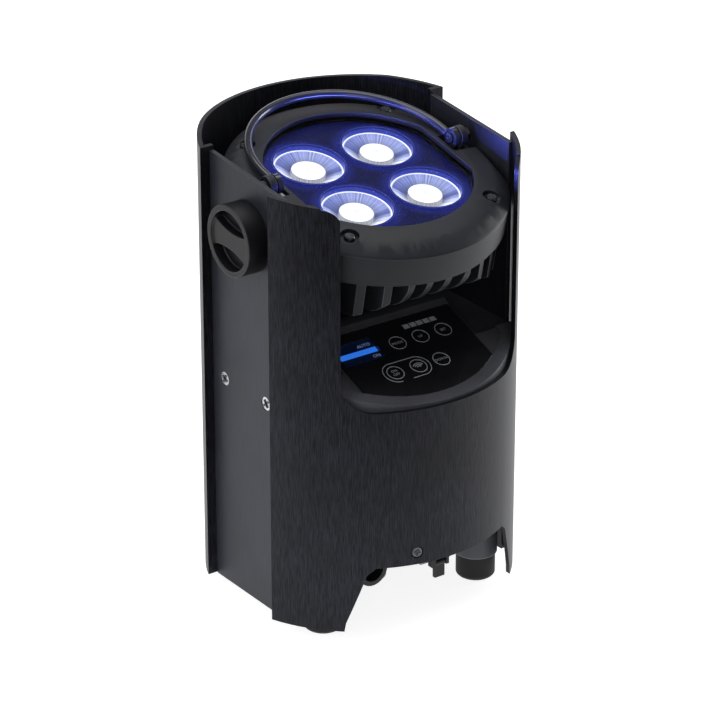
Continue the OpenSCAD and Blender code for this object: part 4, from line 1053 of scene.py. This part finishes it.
def round_shell(turn, height):
    """A spot on the curved shell, turned from the front, and the outward direction there."""
    out = Vector((math.sin(math.radians(turn)), -math.cos(math.radians(turn)), 0))
    return (out * (SHELL_RADIUS - SHELL_SCREW_SUNK) + Vector((0, 0, height))) * MM, out


screws("plate_cross_screws", "plate_screws", "housing", "bright_screw", BRIGHT_SCREW, [
    (Vector((side * PLATE_FACE, y, PLATE_SCREW_HEIGHT)) * MM, Vector((side, 0, 0)))
    for side in (-1, 1) for y in (21.2, -17.5)], 3.75, 1.0)
screws("shell_cross_screws", "shell_screws", "housing", "black_screw", BLACK_SCREW, [
    round_shell(-14.4, 53.8), round_shell(158, 62), round_shell(202, 62)], 3.2, 1.3)
screws("bezel_cross_screws", "bezel_screws", "head", "black_screw", BLACK_SCREW, [
    on_head(sx * 45.6, sy * 48, 21.4) for sx in (-1, 1) for sy in (-1, 1)], 3.0, 2.0)
screws("cover_cross_screws", "back_screws", "head", "black_screw", BLACK_SCREW, [
    on_head(COVER_SCREW_CIRCLE * math.cos(math.radians(a)), COVER_SCREW_CIRCLE * math.sin(math.radians(a)),
            -28.6, (0, 0, -1)) for a in (45, 135, 225, 315)], 2.9, 1.5)
screws("base_cross_screws", "base_screws", "housing", "black_screw", BLACK_SCREW, [
    (Vector((sx * 33, sy * 66, BASE_UNDERSIDE)) * MM, Vector((0, 0, -1)))
    for sx in (-1, 1) for sy in (-1, 1)], 3.2, 2.0)

# %% [markdown]
# ## Printed words and the lit screen
# The touch keys carry short plain words. Text made as a curve is turned into a mesh, thickened a
# little, and laid on the sloping panel with the panel's own matrix. The wireless sign is three arcs,
# and five plain bars stand for the charge. The screen shows one bright row between two faint words.

# %% Flat marks on the panel
def letters(text, height):
    """The outline of a word as a thin mesh, centred on the origin, in millimetres."""
    curve = bpy.data.curves.new("word", "FONT")
    curve.body = text
    curve.size = height
    curve.align_x = "CENTER"
    curve.align_y = "CENTER"
    curve.extrude = 0.04
    curve.resolution_u = 3
    writer = bpy.data.objects.new("word", curve)
    bpy.context.collection.objects.link(writer)
    bpy.context.view_layer.update()
    mesh = plain_mesh(writer)
    bpy.data.objects.remove(writer)
    return mesh


def bar(shape, x, y, width, height, thick, lift):
    """A thin strip on the panel, centred at x, y, with its underside at lift."""
    made = bmesh.ops.create_cube(shape, size=1.0)
    bmesh.ops.scale(shape, vec=(width, height, thick), verts=made["verts"])
    bmesh.ops.translate(shape, vec=(x, y, lift + thick / 2), verts=made["verts"])


ARC_STEPS = 14
ARC_LOW, ARC_HIGH = 0.02, 0.12


def marks_mesh(name, words, bars=(), arcs=()):
    shape = bmesh.new()
    for text, height, x, y, lift in words:
        word = letters(text, height)
        word.transform(Matrix.Translation((x, y, lift)))
        shape.from_mesh(word)
    for x, y, width, height, thick, lift in bars:
        bar(shape, x, y, width, height, thick, lift)
    for x, y, radius, width, first, last in arcs:
        corners = []
        section = [
            (radius, ARC_LOW), (radius + width, ARC_LOW), (radius + width, ARC_HIGH), (radius, ARC_HIGH)]
        for k in range(ARC_STEPS + 1):
            a = math.radians(first + (last - first) * k / ARC_STEPS)
            corners.append([
                shape.verts.new((x + r * math.cos(a), y + r * math.sin(a), z)) for r, z in section])
        for low, high in zip(corners, corners[1:]):
            for k in range(4):
                shape.faces.new((low[k], low[(k + 1) % 4], high[(k + 1) % 4], high[k]))
        shape.faces.new(corners[0])
        shape.faces.new(corners[-1])
    bmesh.ops.recalc_face_normals(shape, faces=shape.faces)
    shape.transform(ON_PANEL)
    mesh = bpy.data.meshes.new(name)
    shape.to_mesh(mesh)
    shape.free()
    return mesh


KEY_HIGH = 44.3
KEY_LOW = 25.0
INK = 0.06
SCREEN = -1.24
words = [
    ("MODE", 2.5, -2.4, KEY_HIGH, INK),
    ("UP", 2.5, 12.6, KEY_HIGH, INK),
    ("SET", 2.5, 27.6, KEY_HIGH, INK),
    ("ON", 2.4, -17.1, KEY_LOW + 1.3, INK),
    ("OFF", 2.4, -17.1, KEY_LOW - 1.3, INK),
    ("DOWN", 2.4, 12.9, KEY_LOW, INK),
]
wireless = [(-2.1, KEY_LOW - 1.6, r, 0.5, 35, 145) for r in (1.2, 2.3, 3.4)]
charge = [(9.4 + k * 4.4, 53.6, 3.6, 3.2, 0.08, 0.02) for k in range(5)]
finished("key_words", marks_mesh("key_words", words, charge, wireless), "housing", "key_ink", KEY_INK)
finished("screen_row", marks_mesh("screen_row", [], [(-27.0, 45.6, 24.0, 3.6, 0.1, -1.28)]),
         "housing", "display", DISPLAY_ROW)
screen_words = [("AUTO", 3.0, -20.5, 50.2, SCREEN), ("ON", 3.0, -18.0, 41.0, SCREEN)]
finished("screen_lines", marks_mesh("screen_lines", screen_words), "housing", "display", DISPLAY_TEXT)
print("marks:", len(words), "words,", len(charge), "charge bars,", len(wireless), "arcs")

# %% [markdown]
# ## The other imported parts
# Inner parts and thin flat parts keep their CAD shape. Each still gets its real finish, because they
# show through the window, between the fins and when the head is tilted.

# %% Finish the parts that keep their CAD shape
for node, material in {
    "display_glass": DISPLAY_WINDOW, "display_module": DISPLAY, "key_marks": KEY_INK,
    "control_board": CIRCUIT_BOARD, "battery_pack": BATTERY_WRAP, "battery_straps": STEEL_STRAP,
    "driver_board": CIRCUIT_BOARD, "radio_module": STEEL_STRAP, "foot_screws": BRIGHT_SCREW,
    "head_glass": HEAD_GLASS, "glass_seal": FOOT_RUBBER, "lens_plate": LENS_PLATE,
    "lens_holders": SOCKET_BLACK, "led_chips": LED_LIT, "led_board": LED_BOARD,
    "back_cover": CASE_PLASTIC, "friction_washers": BRASS_WASHER, "handle_washers": BRIGHT_SCREW,
    "stud_left": BRIGHT_SCREW, "stud_right": BRIGHT_SCREW,
}.items():
    slots = frame["nodes"][node].material_slots
    for material_slot in slots:
        material_slot.material = material
    print(node, "gets", material.name, "in", len(slots), "slot")

# %% [markdown]
# ## Floor and backdrop
# The object stands on white paper that starts a little in front of it and turns up behind it. The
# paper glows slightly, so that it stays white while the lamps on the dark metal stay weak. The sky is
# dim, so that nothing pale is mirrored in the pane of the head.

# %% Floor and backdrop
FLOOR_FRONT, FLOOR_BACK = -0.32, 1.6
BEND_RADIUS = 0.9
BEND_STEPS = 10
BACKDROP_TOP = 1.5
HALF_WIDTH = 3.5
VIEWED_FROM = -35.7


def backdrop():
    shape = bmesh.new()
    profile = [(FLOOR_FRONT, 0.0), (FLOOR_BACK, 0.0)]
    for k in range(1, BEND_STEPS + 1):
        a = math.radians(90 / BEND_STEPS * k)
        profile.append((FLOOR_BACK + BEND_RADIUS * math.sin(a), BEND_RADIUS - BEND_RADIUS * math.cos(a)))
    profile.append((FLOOR_BACK + BEND_RADIUS, BACKDROP_TOP))
    rows = [[shape.verts.new((x, y, z)) for x in (-HALF_WIDTH, HALF_WIDTH)] for y, z in profile]
    for low, high in zip(rows, rows[1:]):
        shape.faces.new((low[0], low[1], high[1], high[0])).smooth = True
    mesh = bpy.data.meshes.new("backdrop")
    shape.to_mesh(mesh)
    shape.free()
    piece = bpy.data.objects.new("backdrop", mesh)
    bpy.context.collection.objects.link(piece)
    paper = bpy.data.materials.new("pale_paper")
    paper.use_nodes = True
    sheet = paper.node_tree.nodes["Principled BSDF"]
    sheet.inputs["Base Color"].default_value = (0.6, 0.6, 0.6, 1)
    sheet.inputs["Roughness"].default_value = 0.8
    sheet.inputs["Emission Color"].default_value = (1, 1, 1, 1)
    sheet.inputs["Emission Strength"].default_value = 0.85
    mesh.materials.append(paper)
    mesh.transform(Matrix.Rotation(math.radians(VIEWED_FROM), 4, "Z"))


backdrop()
world = bpy.data.worlds.new("dim_sky")
bpy.context.scene.world = world
world.use_nodes = True
sky = world.node_tree.nodes["Background"]
sky.inputs["Color"].default_value = (0.96, 0.98, 1.0, 1)
sky.inputs["Strength"].default_value = 0.14
print("sky strength:", sky.inputs["Strength"].default_value)

# %% [markdown]
# ## Lights
# Four large soft lights, from the left, the right, the front and above, give long soft reflections,
# which is what shows brushed metal. Four small blue lights just above the pane stand for the light
# that leaves the optics. They hang on the head, so they tilt with it.

# %% Lights
def soft_light(name, at, target, size, power, colour=(1, 1, 1)):
    lamp = bpy.data.lights.new(name, "AREA")
    lamp.shape = "RECTANGLE"
    lamp.size, lamp.size_y = size
    lamp.energy = power
    lamp.color = colour
    holder = bpy.data.objects.new(name, lamp)
    bpy.context.collection.objects.link(holder)
    holder.location = at
    holder.rotation_mode = "QUATERNION"
    holder.rotation_quaternion = (Vector(target) - Vector(at)).to_track_quat("-Z", "Y")
    return holder


soft_light("left_softbox", (-1.6, 0.1, 0.9), (0, 0, 0.13), (0.9, 1.2), 11)
soft_light("right_softbox", (1.5, -0.25, 0.35), (0, 0, 0.13), (0.5, 1.0), 11.5)
soft_light("front_fill", (-0.9, -1.5, 0.8), (0, 0, 0.15), (1.0, 0.8), 5)
soft_light("top_softbox", (0.1, 0.2, 1.6), (0, 0, 0.2), (1.4, 1.4), 16)
BLUE_WIDTH = 0.020
BLUE_POWER = 0.22
ABOVE_PANE = 20.3
for number, (x, y) in enumerate(LENS_CENTRES):
    blue = bpy.data.lights.new(f"lamp_{number}", "AREA")
    blue.shape = "DISK"
    blue.size = BLUE_WIDTH
    blue.energy = BLUE_POWER
    blue.color = (0.12, 0.16, 1.0)
    glow = bpy.data.objects.new(f"lamp_{number}", blue)
    bpy.context.collection.objects.link(glow)
    glow.parent = frame["bodies"]["head"]
    glow.matrix_local = (Matrix.Translation(ON_HEAD @ Vector((x, y, ABOVE_PANE)))
                         @ Matrix.Rotation(HEAD_TILT + math.pi, 4, "X"))
    glow.visible_camera = False
print("lights:", len(bpy.data.lights))

# %% [markdown]
# ## Camera
# A long lens from far off keeps the upright edges nearly parallel. The camera is placed by its
# direction and distance from a point inside the housing.

# %% Camera
AIM = Vector((0, 0, 0.13236))
DISTANCE = 1.8928
AZIMUTH = math.radians(-35.71)
ELEVATION = math.radians(24.67)
back = Vector((
    math.sin(AZIMUTH) * math.cos(ELEVATION), -math.cos(AZIMUTH) * math.cos(ELEVATION), math.sin(ELEVATION)))
camera_data = bpy.data.cameras.new("camera")
camera_data.sensor_width = 36.0
camera_data.lens = 175.5
camera_data.shift_x = 0.0014
camera_data.shift_y = -0.0074
bpy.context.scene.view_settings.view_transform = "Standard"
camera = bpy.data.objects.new("camera", camera_data)
bpy.context.collection.objects.link(camera)
camera.location = AIM + back * DISTANCE
camera.rotation_mode = "QUATERNION"
camera.rotation_quaternion = (-back).to_track_quat("-Z", "Y")
bpy.context.scene.camera = camera
print("camera:", camera_data.lens, "mm lens,", DISTANCE, "m away")
